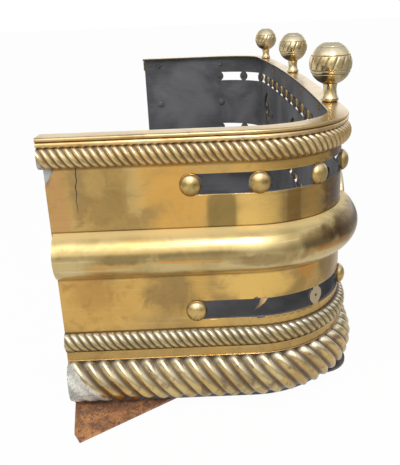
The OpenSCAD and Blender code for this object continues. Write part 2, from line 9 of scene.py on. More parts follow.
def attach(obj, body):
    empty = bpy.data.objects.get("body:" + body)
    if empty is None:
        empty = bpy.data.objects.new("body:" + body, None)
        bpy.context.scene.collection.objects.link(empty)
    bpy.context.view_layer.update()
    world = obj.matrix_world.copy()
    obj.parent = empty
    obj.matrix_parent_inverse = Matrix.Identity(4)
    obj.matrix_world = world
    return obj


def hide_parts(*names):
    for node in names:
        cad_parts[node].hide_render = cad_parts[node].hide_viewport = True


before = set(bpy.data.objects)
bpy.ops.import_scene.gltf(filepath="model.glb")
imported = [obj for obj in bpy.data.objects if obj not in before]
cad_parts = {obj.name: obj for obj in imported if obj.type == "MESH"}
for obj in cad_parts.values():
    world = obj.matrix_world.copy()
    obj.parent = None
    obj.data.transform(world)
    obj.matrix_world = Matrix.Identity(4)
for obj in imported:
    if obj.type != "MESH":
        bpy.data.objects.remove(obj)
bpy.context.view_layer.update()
print("frame loaded", len(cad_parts), "nodes")

# The wall's path, in metres: t runs along the outer face from the middle of the front,
# positive to the left; off is outwards from that face; z is up from the floor
wall = {"half": 0.560, "depth": 0.327, "corner": 0.110, "bow": 7.6, "top": 0.305,
        "tip": 0.0206461, "over": 0.003, "seam": 0.00015, "skin": 0.001, "lining": 0.002,
        "roundelIn": 0.062, "roundelZ": 0.1813}
seam, over = wall["seam"], wall["over"]
bowTurn = math.asin((wall["half"] - wall["corner"]) / (wall["bow"] - wall["corner"]))
bowLen = wall["bow"] * bowTurn
turnEnd = bowLen + wall["corner"] * (math.pi / 2 - bowTurn)
cornerX = wall["half"] - wall["corner"]
cornerY = wall["bow"] - (wall["bow"] - wall["corner"]) * math.cos(bowTurn)
wallEnd = turnEnd + wall["depth"] - cornerY
frontY = (wall["tip"] - wall["depth"] - over) / 2
roundelT, roundelZ = bowLen - wall["roundelIn"], wall["roundelZ"]
liningOut = -wall["skin"] - seam
liningIn = liningOut - wall["lining"]
insideFace = liningIn - seam  # where riveted heads lie


# Turn of the outward direction: grows evenly round the bow, fast round the corner, then stays
def wallTurn(t):
    s = np.abs(t)
    turn = np.where(s < bowLen, s / wall["bow"], bowTurn + (s - bowLen) / wall["corner"])
    return np.sign(t) * np.minimum(turn, math.pi / 2)


# Outward direction at t, as rows of x, y, z
def wallOut(t):
    a = wallTurn(t)
    return np.stack([-np.sin(a), -np.cos(a), np.zeros_like(a)], -1)


# Point at t, off and z: an arc about the bow's centre, then one about the corner's, then straight
def wallPoint(t, off, z):
    t, off, z = np.broadcast_arrays(*[np.asarray(v, float) for v in (t, off, z)])
    s, side, a = np.abs(t), np.where(t < 0, 1.0, -1.0), np.abs(wallTurn(t))
    bowX, bowY = (wall["bow"] + off) * np.sin(a), wall["bow"] - (wall["bow"] + off) * np.cos(a)
    cornX = cornerX + (wall["corner"] + off) * np.sin(a)
    cornY = cornerY - (wall["corner"] + off) * np.cos(a)
    onBow, onCorner = s < bowLen, s < turnEnd
    x = np.where(onBow, bowX, np.where(onCorner, cornX, wall["half"] + off))
    y = np.where(onBow, bowY, np.where(onCorner, cornY, cornerY + s - turnEnd))
    return np.stack([side * x, frontY + y, z], -1)


# Places along the wall from a to b, close together round the corners and wide apart elsewhere
def wallSteps(a, b, fine=0.0025, coarse=0.02):
    marks = [-wallEnd - 0.01, -turnEnd, -bowLen, bowLen, turnEnd, wallEnd + 0.01]
    steps = [coarse, fine, coarse, fine, coarse]
    out = []
    for lo, hi, step in zip(marks[:-1], marks[1:], steps):
        lo, hi = max(a, lo), min(b, hi)
        if hi > lo:
            out.append(np.linspace(lo, hi, max(2, math.ceil((hi - lo) / step) + 1)))
    return np.unique(np.round(np.concatenate(out), 7))


# Points of x, y and height set on the wall at t and z: x along it, y up, height outwards
def onWall(points, t, z):
    out = wallOut(t)
    side = np.array([-out[1], out[0], 0.0])
    placed = points[:, :1] * side + points[:, 1:2] * [0, 0, 1] + points[:, 2:] * out
    return placed + wallPoint(t, 0.0, z)


# Mesh from rows of points and a list of face index arrays, turned so that it faces outwards
def makePiece(name, points, faceArrays, material, uv=None, marks=None, sharp=35, node=None):
    faces = [row for part in faceArrays for row in part.tolist()]
    tris = np.array([[f[0], f[k], f[k + 1]] for f in faces for k in range(1, len(f) - 1)])
    a, b, c = (points[tris[:, k]] for k in range(3))
    middle = points.mean(0)
    if np.einsum("ij,ij->i", a - middle, np.cross(b - middle, c - middle)).sum() < 0:
        faces = [f[::-1] for f in faces]
    mesh = bpy.data.meshes.new(name)
    mesh.from_pydata(points.tolist(), [], faces)
    mesh.shade_smooth()
    mesh.set_sharp_from_angle(angle=math.radians(sharp))
    if uv is not None:
        loopVerts = np.zeros(len(mesh.loops), int)
        mesh.loops.foreach_get("vertex_index", loopVerts)
        layer = mesh.uv_layers.new(name="alongWall")
        layer.data.foreach_set("uv", np.asarray(uv, float)[loopVerts].ravel())
    for key, values in (marks or {}).items():
        mesh.attributes.new(key, "FLOAT", "POINT").data.foreach_set(
            "value", np.asarray(values, float))
    mesh.materials.append(material)
    piece = bpy.data.objects.new(name, mesh)
    bpy.context.collection.objects.link(piece)
    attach(piece, "root")
    if node:
        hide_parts(node)
    return piece


# Quads of a grid with the given rows and columns; a wrapped column closes the tube
def gridFaces(rows, cols, wrapCols=False):
    i = np.arange(rows - 1)[:, None]
    j = np.arange(cols if wrapCols else cols - 1)[None, :]
    i2, j2 = i + 1, (j + 1) % cols
    return np.stack([i * cols + j, i2 * cols + j, i2 * cols + j2, i * cols + j2], -1).reshape(-1, 4)


# Closed profile of off and z carried along the wall; each profile point may have its own ends
def sweepAlongWall(name, profile, tFrom, tTo, material, node=None, fine=0.0025):
    profile = np.asarray(profile, float)
    steps = wallSteps(np.mean(tFrom), np.mean(tTo), fine)
    share = (steps - steps[0]) / (steps[-1] - steps[0])
    part = 12  # cut ends ease back to square within a twelfth of the length
    near, far = (np.clip(s * part, 0, 1)[:, None] for s in (share, 1 - share))
    t = steps[:, None] + (1 - near) * (tFrom - steps[0]) + (1 - far) * (tTo - steps[-1])
    t = np.broadcast_to(t, (len(steps), len(profile)))
    points = wallPoint(t, profile[None, :, 0], profile[None, :, 1])
    girth = np.concatenate([[0], np.cumsum(np.hypot(*np.diff(profile, axis=0).T))])
    uv = np.stack([t, np.broadcast_to(girth, t.shape)], -1).reshape(-1, 2)
    m, n = t.shape
    caps = [np.arange(n)[None, ::-1], (m - 1) * n + np.arange(n)[None, :]]
    return makePiece(name, points.reshape(-1, 3), [gridFaces(m, n, wrapCols=True)] + caps,
                     material, uv=uv, node=node)


# Arc of a profile from one angle to another, in degrees; high makes it part of an ellipse
def arc(off, z, r, a0, a1, n, high=None):
    a = np.radians(np.linspace(a0, a1, n))
    return np.stack([off + r * np.cos(a), z + (high or r) * np.sin(a)], -1)


# Radius of the circle whose arc moves in by step over a rise
def arcRadius(rise, step):
    return (rise ** 2 + step ** 2) / (2 * step)


# Points of t and z; one number stands for a whole row of them
def line(t, z):
    return np.stack(np.broadcast_arrays(np.asarray(t, float), z), -1)


# One socket of a material, with sums written as they are in Python; node() adds any other node
class Wire:
    def __init__(self, tree, socket=None):
        self.tree, self.socket = tree, socket

    def node(self, kind, settings=None, inputs=None, out=0):
        made = self.tree.nodes.new(kind)
        for key, value in (settings or {}).items():
            setattr(made, key, value)
        for key, value in (inputs or {}).items():
            if isinstance(value, Wire):
                self.tree.links.new(value.socket, made.inputs[key])
            else:
                made.inputs[key].default_value = value
        return Wire(self.tree, made.outputs[out] if made.outputs else None)

    def sum(self, operation, a, b=0.0):
        return self.node("ShaderNodeMath", {"operation": operation}, {0: a, 1: b})

    def __add__(self, other): return self.sum("ADD", self, other)
    def __radd__(self, other): return self.sum("ADD", other, self)
    def __sub__(self, other): return self.sum("SUBTRACT", self, other)
    def __rsub__(self, other): return self.sum("SUBTRACT", other, self)
    def __mul__(self, other): return self.sum("MULTIPLY", self, other)
    def __rmul__(self, other): return self.sum("MULTIPLY", other, self)
    def __pow__(self, other): return self.sum("POWER", self, other)

    def clamp(self):
        return self.node("ShaderNodeClamp", None, {0: self})

    # one of x, y and z, counted from 0
    def axis(self, k):
        return self.node("ShaderNodeSeparateXYZ", None, {0: self}, out=k)

    # a number that the mesh carries at its points
    def mark(self, name):
        return self.node("ShaderNodeAttribute", {"attribute_name": name}, out=2)

    # smooth step from 0 at lo to 1 at hi
    def ease(self, lo, hi):
        return self.node("ShaderNodeMapRange", {"interpolation_type": "SMOOTHSTEP"},
                         {0: self, 1: lo, 2: hi, 3: 0.0, 4: 1.0})

    def blend(self, a, b):
        return self.node("ShaderNodeMix", {"data_type": "RGBA"}, {0: self, 6: a, 7: b}, out=2)

    def noise(self, scale, detail=3.0, rough=0.5, twist=0.0, stretch=None):
        at = self.node("ShaderNodeMapping", None, {0: self, 3: stretch}) if stretch else self
        return self.node("ShaderNodeTexNoise", None,
                         {"Vector": at, "Scale": scale, "Detail": detail, "Roughness": rough,
                          "Distortion": twist})


# Screen colour of 0 to 255, as the linear values that Blender wants
def rgb(r, g, b):
    lin = [((v / 255 + 0.055) / 1.055) ** 2.4 if v > 10 else v / 255 / 12.92 for v in (r, g, b)]
    return (*lin, 1.0)


# A new material and its bare wire; finishMaterial() puts colour, gloss and relief on the shader
def newMaterial(name):
    material = bpy.data.materials.new(name)
    material.use_nodes = True
    material.node_tree.nodes.clear()
    return material, Wire(material.node_tree)


def finishMaterial(wire, colour, rough, metal, height, dent, strength=1.0, fixed=None):
    relief = wire.node("ShaderNodeBump", None,
                       {"Strength": strength, "Distance": dent, "Height": height})
    shader = wire.node("ShaderNodeBsdfPrincipled", None,
                       {"Base Color": colour, "Roughness": rough, "Metallic": metal,
                        "Normal": relief, **(fixed or {})})
    wire.node("ShaderNodeOutputMaterial", None, {"Surface": shader})


# A patch of colour, for a stain and also for painted light: its middle in t and v, half its width
# and height, its colour and how strongly it covers; power 4 squares it, and dull takes the metal's
# shine
def colourPatch(t, v, wide, high, colour, share, soft=0.9, ragged=4.5, power=2, dull=0.0):
    return {"t": t, "v": v, "wide": wide, "high": high, "colour": rgb(*colour), "share": share,
            "soft": soft, "ragged": ragged, "power": power, "dull": dull}


# Stains and painted light at their places: t runs along the wall and v across the piece
def addColourPatches(run, clouds, mottle, colourPatches, colour, rough, metal):
    runT, runV = run.axis(0), run.axis(1)
    for spot in colourPatches:
        across = (runT - spot["t"]) * (1 / spot["wide"])
        upright = (runV - spot["v"]) * (1 / spot["high"])
        reach = across ** spot["power"] + upright ** spot["power"]
        reach = reach + (clouds - 0.5) * spot["ragged"] + (mottle - 0.5) * (spot["ragged"] * 0.6)
        mask = (1 - reach.ease(1 - spot["soft"], 1 + spot["soft"])) * spot["share"]
        colour = mask.blend(colour, spot["colour"])
        if spot["dull"]:
            rough = rough + mask * spot["dull"] * 0.3
            metal = metal * (1 - mask * spot["dull"])
    return colour, rough, metal


# Old brass: clouds of gold, olive and pale metal, streaks along the piece, dirt in its hollows,
# a painted highlight on faces that look up and painted shade on faces that look down
def makeBrass(name, look):
    material, wire = newMaterial(name)
    place = wire.node("ShaderNodeTexCoord", out=3)
    up = wire.node("ShaderNodeNewGeometry", out=1).axis(2)
    run = wire.node("ShaderNodeUVMap", {"uv_map": "alongWall"})
    clouds = place.noise(look["cloudScale"], 4, 0.55, 0.8)
    patches = place.noise(look["cloudScale"] * 0.45, 2, 0.5, 1.2)
    mottle = place.noise(look["cloudScale"] * 4, 4, 0.62, 0.6)
    grain = place.noise(900, 2, 0.6)
    if look.get("along"):
        streaks = run.noise(1, 5, 0.6, 0.3, stretch=(9, 260, 1))
    else:
        streaks = place.noise(1, 4, 0.6, 0.3, stretch=(60, 60, 700))
    colour = (clouds.ease(0.44, 0.66) * look["oliveShare"]).blend(look["mid"], look["olive"])
    colour = (patches.ease(0.47, 0.62) * look["goldShare"]).blend(colour, look["gold"])
    colour = ((1 - mottle.ease(0.32, 0.5)) * look["mottle"]).blend(colour, look["brown"])
    colour = (streaks.ease(0.52, 0.75) * look["paleShare"]).blend(colour, look["pale"])
    rough = look["rough"] + clouds * 0.10 + mottle * 0.08 - 0.05
    metal = 1.0
    # faces that look up are blended towards the pale tone: a painted highlight
    if look.get("paintedTopHighlight"):
        colour = (up.ease(0.15, 0.85) * look["paintedTopHighlight"]).blend(colour, look["pale"])
    # faces that look down are blended towards brown: painted shade
    if look.get("shaded"):
        colour = ((1 - up.ease(-0.9, 0.0)) * look["shaded"]).blend(colour, look["brown"])
    if look.get("colourPatches"):
        colour, rough, metal = addColourPatches(run, clouds, mottle, look["colourPatches"], colour, rough, metal)
    # the groove mark darkens: dirt in the cables' hollows and the engraved lines, the cables' darkened
    # edges, and painted shade round the studs' seats
    if look.get("groove"):
        depth = wire.mark("groove")
        hollow = (depth + clouds * 0.25 - 0.12).ease(look.get("crest", 0.25), 1.0)
        colour = (hollow * look["groove"]).blend(colour, look["dirtAndShade"])
        rough = rough + hollow * 0.3
        metal = metal * (1 - hollow * 0.6)
    # the skin is darkened along the heights where mouldings meet it
    if look.get("edges"):
        height, darkening = place.axis(2), None
        for edge, reach in look["edges"]:
            near = 1 - wire.sum("ABSOLUTE", height - edge).ease(0.0, reach)
            darkening = near if darkening is None else wire.sum("MAXIMUM", darkening, near)
        darkening = darkening * (0.25 + clouds * 0.8)
        colour = darkening.clamp().blend(colour, look["dirtAndShade"])
        rough = rough + darkening * 0.2
    if look.get("solder"):
        grey = (wire.mark("worn") + mottle * 0.6 - 0.3).ease(0.3, 0.5)
        scratched = (mottle * 0.5 + grain * 0.5).ease(0.38, 0.6)
        tone = (scratched * (1 - depth * 0.5)).clamp().blend(*look["solder"])
        colour = grey.blend(colour, tone)
        rough = rough + grey * 0.3
        metal = metal * (1 - grey * 0.9)
    if look.get("painted"):
        painted = wire.mark("painted")
        colour = painted.blend(colour, look["painted"])
        rough = rough + painted * 0.3
        metal = metal * (1 - painted)
    relief = clouds + streaks * 0.12 + mottle * 0.12 + grain * 0.03
    finishMaterial(wire, colour, rough, metal, relief, look["dent"],
                   fixed={"Coat Weight": 0.2, "Coat Roughness": 0.25})
    return material


# Satin black paint on iron: faint brush streaks, dust, and bare or rusty specks
def makeBlackPaint(name, look):
    material, wire = newMaterial(name)
    place = wire.node("ShaderNodeTexCoord", out=3)
    clouds = place.noise(9, 4, 0.55, 0.5)
    brush = place.noise(1, 3, 0.6, stretch=(40, 40, 420))
    specks = place.noise(260, 2, 0.7)
    colour = clouds.ease(0.35, 0.7).blend(look["dark"], look["light"])
    colour = (brush.ease(0.45, 0.8) * 0.25).blend(colour, look["dust"])
    colour = (specks.ease(0.68, 0.76) * clouds.ease(0.5, 0.6) * 0.5).blend(colour, look["rust"])
    rough, metal = look["rough"] + clouds * 0.12, 0.0
    if look.get("colourPatches"):
        run = wire.node("ShaderNodeUVMap", {"uv_map": "alongWall"})
        colour, rough, metal = addColourPatches(run, clouds, specks, look["colourPatches"], colour, rough, metal)
    finishMaterial(wire, colour, rough, metal, brush * 0.4 + specks * 0.5 + clouds, 0.0006, 0.8,
                   {"IOR": 1.5})
    return material


# Rusted iron plate: layers of orange, brown and violet-brown, pitted all over
def makeRust(name, look):
    material, wire = newMaterial(name)
    place = wire.node("ShaderNodeTexCoord", out=3)
    clouds = place.noise(38, 5, 0.6, 0.8)
    spots = place.noise(150, 5, 0.7, 0.6)
    pits = place.noise(700, 2, 0.7)
    colour = clouds.ease(0.35, 0.65).blend(look["brown"], look["orange"])
    colour = (spots.ease(0.46, 0.57) * 0.9).blend(colour, look["violet"])
    colour = (pits.ease(0.52, 0.66) * 0.6).blend(colour, look["pale"])
    finishMaterial(wire, colour, 0.72 + spots * 0.25, 0.15,
                   clouds * 0.6 + spots * 0.5 + pits * 0.3, 0.0012)
    return material


# The skin's stains, with painted shade round the corner, where v is the height above the floor
skinStainsAndShade = [
    colourPatch(0.8235, 0.266, 0.0040, 0.0110, (96, 86, 70), 0.8, ragged=2.5, dull=0.6),
    colourPatch(0.816, 0.236, 0.010, 0.040, (208, 156, 102), 0.6),
    colourPatch(0.795, 0.252, 0.008, 0.030, (164, 136, 88), 0.6),
    colourPatch(0.765, 0.238, 0.026, 0.034, (156, 128, 72), 0.6),
    colourPatch(0.778, 0.256, 0.009, 0.014, (216, 180, 112), 0.4, ragged=7),
    colourPatch(0.738, 0.232, 0.010, 0.030, (228, 198, 130), 0.5, ragged=8),
    colourPatch(0.700, 0.238, 0.034, 0.040, (238, 180, 86), 0.7),
    colourPatch(0.653, 0.222, 0.015, 0.021, (146, 122, 68), 0.8, soft=0.6, ragged=0.9, power=4),
    colourPatch(0.614, 0.222, 0.023, 0.024, (250, 206, 116), 0.8, ragged=1.5, power=4),
    colourPatch(0.578, 0.224, 0.009, 0.024, (146, 110, 56), 0.7, soft=0.6, ragged=1.5, power=4),
    colourPatch(0.553, 0.224, 0.014, 0.022, (220, 170, 90), 0.6),
    # the dark patches at 0.505, 0.520 and 0.500 round the corner are tarnish and painted shade
    # together
    colourPatch(0.505, 0.236, 0.036, 0.050, (98, 66, 28), 0.9),
    colourPatch(0.790, 0.136, 0.024, 0.020, (190, 138, 74), 0.6),
    colourPatch(0.704, 0.134, 0.030, 0.026, (146, 120, 76), 0.7),
    colourPatch(0.625, 0.141, 0.046, 0.018, (246, 202, 112), 0.8),
    colourPatch(0.561, 0.149, 0.012, 0.012, (226, 152, 66), 0.55),
    colourPatch(0.520, 0.140, 0.018, 0.020, (140, 116, 72), 0.7),
    colourPatch(0.500, 0.070, 0.030, 0.030, (134, 106, 62), 0.5),
    # the bare disc of the lost stud
    colourPatch(0.5458, 0.1137, 0.0102, 0.0102, (176, 158, 130), 0.9, soft=0.12, ragged=0.15, dull=0.6)]
# The band's stains and painted light; v runs up over the band from 0 at its lower edge to 0.0708 at
# its upper edge
bandStainsAndLight = [
    # pale, dulled stripes along the upper and lower edges: painted highlights
    colourPatch(0, 0.0700, 9, 0.0100, (228, 206, 146), 0.9, ragged=0.6, dull=0.8),
    colourPatch(0, 0.0006, 9, 0.0036, (206, 180, 120), 0.75, ragged=2.0, dull=0.6),
    colourPatch(0.752, 0.0370, 0.030, 0.0060, (120, 100, 62), 0.7),
    colourPatch(0.735, 0.0440, 0.090, 0.0070, (166, 142, 90), 0.6),
    colourPatch(0.680, 0.0370, 0.050, 0.0050, (140, 116, 70), 0.55),
    # thin orange lines: painted reflections
    colourPatch(0.765, 0.0292, 0.026, 0.0011, (226, 158, 74), 0.9, ragged=0.6),
    colourPatch(0.690, 0.0325, 0.034, 0.0011, (230, 162, 78), 0.9, ragged=0.6),
    # round the corner: tarnish and painted shade together, and an orange patch of tarnish and painted
    # reflection
    colourPatch(0.610, 0.0300, 0.030, 0.0060, (134, 106, 62), 0.6),
    colourPatch(0.560, 0.0440, 0.022, 0.0090, (122, 96, 56), 0.8),
    colourPatch(0.500, 0.0480, 0.040, 0.0170, (96, 70, 40), 0.85),
    colourPatch(0.545, 0.0330, 0.024, 0.0032, (198, 136, 70), 0.7)]


# The colours of a brass: its body, its clouds, its pale and brown tones, which also give the painted
# highlight and painted shade, and the dirt in its hollows, which also gives painted shade round the
# studs
def tones(*colours):
    return dict(zip(("mid", "olive", "gold", "pale", "brown", "dirtAndShade"), [rgb(*c) for c in colours]))


# Looks of the brasses; edges are heights along which the skin is darkened, and how far it reaches
brassLooks = {
    "mottled": {
        **tones((210, 172, 102), (166, 136, 82), (232, 184, 98), (228, 206, 150), (150, 114, 64),
                (74, 52, 26)),
        "cloudScale": 15, "oliveShare": 0.7, "goldShare": 0.65, "paleShare": 0.35, "mottle": 0.3,
        "rough": 0.22, "dent": 0.0012, "along": True, "painted": rgb(70, 70, 72),
        "colourPatches": skinStainsAndShade,
        "edges": [(0.2072, 0.0015), (0.1553, 0.0030), (0.2730, 0.003), (0.0925, 0.002)]},
    "band": {
        **tones((214, 190, 132), (172, 146, 90), (216, 178, 104), (236, 222, 178), (140, 110, 64),
                (84, 60, 30)),
        "cloudScale": 16, "oliveShare": 0.6, "goldShare": 0.4, "paleShare": 0.5, "mottle": 0.18,
        "rough": 0.27, "dent": 0.0005, "along": True, "colourPatches": bandStainsAndLight},
    "rail": {
        **tones((216, 188, 134), (178, 148, 92), (218, 178, 104), (238, 224, 188), (146, 110, 60),
                (92, 66, 34)),
        "cloudScale": 14, "oliveShare": 0.4, "goldShare": 0.3, "paleShare": 0.3, "mottle": 0.4,
        "shaded": 0.7, "rough": 0.26, "dent": 0.0005, "along": True},
    "roll": {
        **tones((240, 212, 158), (186, 154, 100), (222, 178, 108), (236, 216, 170),
                (144, 106, 62), (92, 66, 34)),
        "cloudScale": 22, "oliveShare": 0.6, "goldShare": 0.5, "paleShare": 0.2, "mottle": 0.4,
        "shaded": 0.5, "rough": 0.34, "dent": 0.0005, "along": True},
    "upperRope": {
        **tones((236, 208, 148), (188, 156, 96), (222, 178, 100), (248, 238, 212),
                (152, 118, 72), (96, 72, 40)),
        "cloudScale": 20, "oliveShare": 0.5, "goldShare": 0.4, "paleShare": 0.35, "mottle": 0.45,
        "paintedTopHighlight": 0.75, "shaded": 0.45, "rough": 0.24, "dent": 0.0004, "along": True,
        "groove": 0.9, "crest": 0.3, "solder": (rgb(128, 124, 120), rgb(190, 186, 180))},
    "lowerRope": {
        **tones((206, 184, 130), (168, 148, 98), (204, 172, 108), (244, 238, 218),
                (128, 106, 76), (84, 68, 46)),
        "cloudScale": 24, "oliveShare": 0.6, "goldShare": 0.4, "paleShare": 0.35, "mottle": 0.55,
        "paintedTopHighlight": 0.75, "shaded": 0.5, "rough": 0.24, "dent": 0.0004, "along": True,
        "groove": 0.92, "crest": 0.22},
    "baseRope": {
        **tones((224, 200, 140), (166, 140, 84), (206, 164, 92), (244, 238, 218),
                (128, 104, 84), (88, 68, 50)),
        "cloudScale": 17, "oliveShare": 0.7, "goldShare": 0.5, "paleShare": 0.3, "mottle": 0.75,
        "paintedTopHighlight": 0.8, "shaded": 0.4, "rough": 0.22, "dent": 0.0008, "along": True,
        "groove": 0.9, "crest": 0.3, "solder": (rgb(146, 147, 143), rgb(238, 234, 220))},
    "turned": {
        **tones((228, 208, 158), (164, 138, 86), (214, 178, 108), (244, 238, 218),
                (138, 108, 72), (82, 58, 32)),
        "cloudScale": 45, "oliveShare": 0.5, "goldShare": 0.35, "paleShare": 0.3, "mottle": 0.5,
        "paintedTopHighlight": 0.6, "shaded": 0.5, "rough": 0.22, "dent": 0.0003, "groove": 0.9,
        "painted": rgb(70, 70, 72)}}
brassLooks["stud"] = {**brassLooks["turned"], "mid": rgb(212, 180, 112), "pale": rgb(244, 234, 206),
                      "brown": rgb(116, 90, 50), "paintedTopHighlight": 0.55, "shaded": 0.8, "paleShare": 0.2,
                      "rough": 0.26}
brassLooks["fillet"] = {**brassLooks["mottled"], "mid": rgb(194, 160, 98),
                        "gold": rgb(204, 164, 92), "colourPatches": None, "edges": None}
brassLooks["dull"] = {**brassLooks["roll"], "mid": rgb(150, 128, 96), "gold": rgb(160, 132, 92),
                      "rough": 0.5}
brass = {key: makeBrass(key + "Brass", look) for key, look in brassLooks.items()}

paintLook = {"dark": rgb(70, 70, 73), "light": rgb(108, 108, 111), "dust": rgb(132, 130, 126),
             "rust": rgb(106, 72, 50), "rough": 0.42}
blackPaint = makeBlackPaint("blackIronPaint", paintLook)
# a darker copy of the black paint for the rail's bar: painted shade under the brass cover
shadedBarPaint = makeBlackPaint("shadedBarPaint", {"dark": rgb(34, 29, 24), "light": rgb(52, 44, 36),
                                       "dust": rgb(84, 74, 60), "rust": rgb(92, 60, 40),
                                       "rough": 0.55})
# the solder that shows where the skin's corner is torn away
tornCorner = colourPatch(0.8265, 0.264, 0.010, 0.010, (178, 180, 176), 0.9, ragged=3.0)
liningPaint = makeBlackPaint("liningPaint", {**paintLook, "colourPatches": [tornCorner]})
rustyPlate = makeRust("rustyIron", {
    "brown": rgb(148, 100, 66), "orange": rgb(206, 146, 92), "violet": rgb(122, 84, 72),
    "pale": rgb(226, 186, 146)})
print("materials made")

# Two rows of windows, parted by discs that carry the studs; discs are counted from the left
rows = {"upper": 0.2518, "lower": 0.1137, "windowHigh": 0.0216, "disc": 0.0095, "neck": 0.0045,
        "pitch": 0.0689, "shift": 0.029, "count": 20, "lostDisc": 1, "lostStud": 2}
studT = rows["shift"] + (np.arange(rows["count"])[::-1] - (rows["count"] - 1) / 2) * rows["pitch"]
lostT = studT[rows["lostDisc"]]


# Outline of one window: straight top and bottom, ends that follow the discs and necks
def windowLoop(left, right, z):
    high, r, neck = rows["windowHigh"] / 2, rows["disc"], rows["neck"]
    turn = math.degrees(math.acos(neck / r))
    atRight, atLeft = right + neck, left - neck
    run = np.linspace(atRight, atLeft, 16)[1:-1]
    return np.concatenate([
        [[atRight, z - high]], arc(right, z, r, -turn, turn, 15), [[atRight, z + high]],
        line(run, z + high), [[atLeft, z + high]], arc(left, z, -r, -turn, turn, 15, r)[::-1],
        [[atLeft, z - high]], line(run[::-1], z - high)])


# Windows of a row, each between two discs that stand side by side
def rowLoops(z, discs):
    return [windowLoop(studT[a], studT[b], z) for a, b in zip(discs[:-1], discs[1:])]


# Circle of n points, evenly turned from angle 0
def circleLoop(t, z, r, n=56):
    a = np.linspace(0, 2 * math.pi, n, endpoint=False)
    return np.stack([t + r * np.cos(a), z + r * np.sin(a)], -1)


# The window whose disc was torn out, with a tear at its top and a nick at its foot
def tornLoop(loop):
    top, low = (rows["lower"] + side * rows["windowHigh"] / 2 for side in (1, -1))
    tear = np.array([[-0.0090, 0], [0.0030, 0.0006], [0.0042, 0.0024], [0.0064, 0.0016],
                     [0.0085, 0]]) + [lostT, top]
    nick = np.array([[0.0055, 0], [0.0038, -0.0016], [-0.0010, -0.0022], [-0.0036, -0.0010],
                     [-0.0044, 0]]) + [lostT, low]
    clear = 0.0095  # no other point of the edge stays this near to the lost disc's middle
    onTop, onFoot = np.abs(loop[:, 1] - top) < 1e-6, np.abs(loop[:, 1] - low) < 1e-6
    spared = ~((onTop | onFoot) & (np.abs(loop[:, 0] - lostT) < clear))
    lastTop = np.where(onTop & (loop[:, 0] < lostT - clear))[0].max() + 1
    kept = spared[:lastTop].sum()
    loop = np.insert(loop[spared], [kept], tear, axis=0)
    onFoot = np.abs(loop[:, 1] - low) < 1e-6
    lastFoot = np.where(onFoot & (loop[:, 0] > lostT + clear))[0].max() + 1
    return np.insert(loop, [lastFoot], nick, axis=0)


# Which points lie inside a loop: those with an odd number of its edges to one side
def insideLoop(loop, points):
    a, b = loop, np.roll(loop, -1, 0)
    t, z = points[:, :1], points[:, 1:]
    crosses = (a[:, 1] > z) != (b[:, 1] > z)
    with np.errstate(divide="ignore", invalid="ignore"):
        at = a[:, 0] + (z - a[:, 1]) * (b[:, 0] - a[:, 0]) / (b[:, 1] - a[:, 1])
    return (crosses & (t < at)).sum(1) % 2 == 1


# Which points lie inside the outline and outside every loop
def between(points, outline, loops):
    keep = insideLoop(outline, points)
    for loop in loops:
        keep &= ~insideLoop(loop, points)
    return keep


# Triangles of a flat sheet from its rings and the free points among them, all turned one way,
# and the sides that only one of them has
def fillSheet(rings, free, outline, loops, way, near):
    edges, start = [], 0
    for ring in rings:
        k = np.arange(len(ring))
        edges += (start + np.stack([k, (k + 1) % len(ring)], -1)).tolist()
        start += len(ring)
    points = [Vector(p) for p in np.concatenate(rings + free)]
    flat, _, faces = delaunay_2d_cdt(points, edges, [], 0, near)[:3]
    flat, faces = np.array([v[:] for v in flat]), np.array(faces)
    faces = faces[between(flat[faces].mean(1), outline, loops)]
    (ax, ay), (bx, by), (cx, cy) = (flat[faces[:, k]].T for k in range(3))
    wrong = ((bx - ax) * (cy - ay) - (by - ay) * (cx - ax)) * way < 0
    faces[wrong] = faces[wrong][:, ::-1]
    used, faces = np.unique(faces, return_inverse=True)
    faces = faces.reshape(-1, 3)
    sides = np.concatenate([faces[:, [0, 1]], faces[:, [1, 2]], faces[:, [2, 0]]])
    _, index, times = np.unique(np.sort(sides, 1), axis=0, return_index=True, return_counts=True)
    return flat[used], faces, sides[index[times == 1]]


# Quads that join the rim of a sheet's front to that of its back, whose points come n later
def rimWalls(rim, n):
    return np.stack([rim[:, 1], rim[:, 0], rim[:, 0] + n, rim[:, 1] + n], -1)


sheets = {"top": 0.3006, "skinLow": 0.0095, "liningLow": 0.0056, "collar": 0.0009,
          "behindRoundel": 0.041, "shankHole": 0.0018, "fine": 0.0035, "coarse": 0.022}


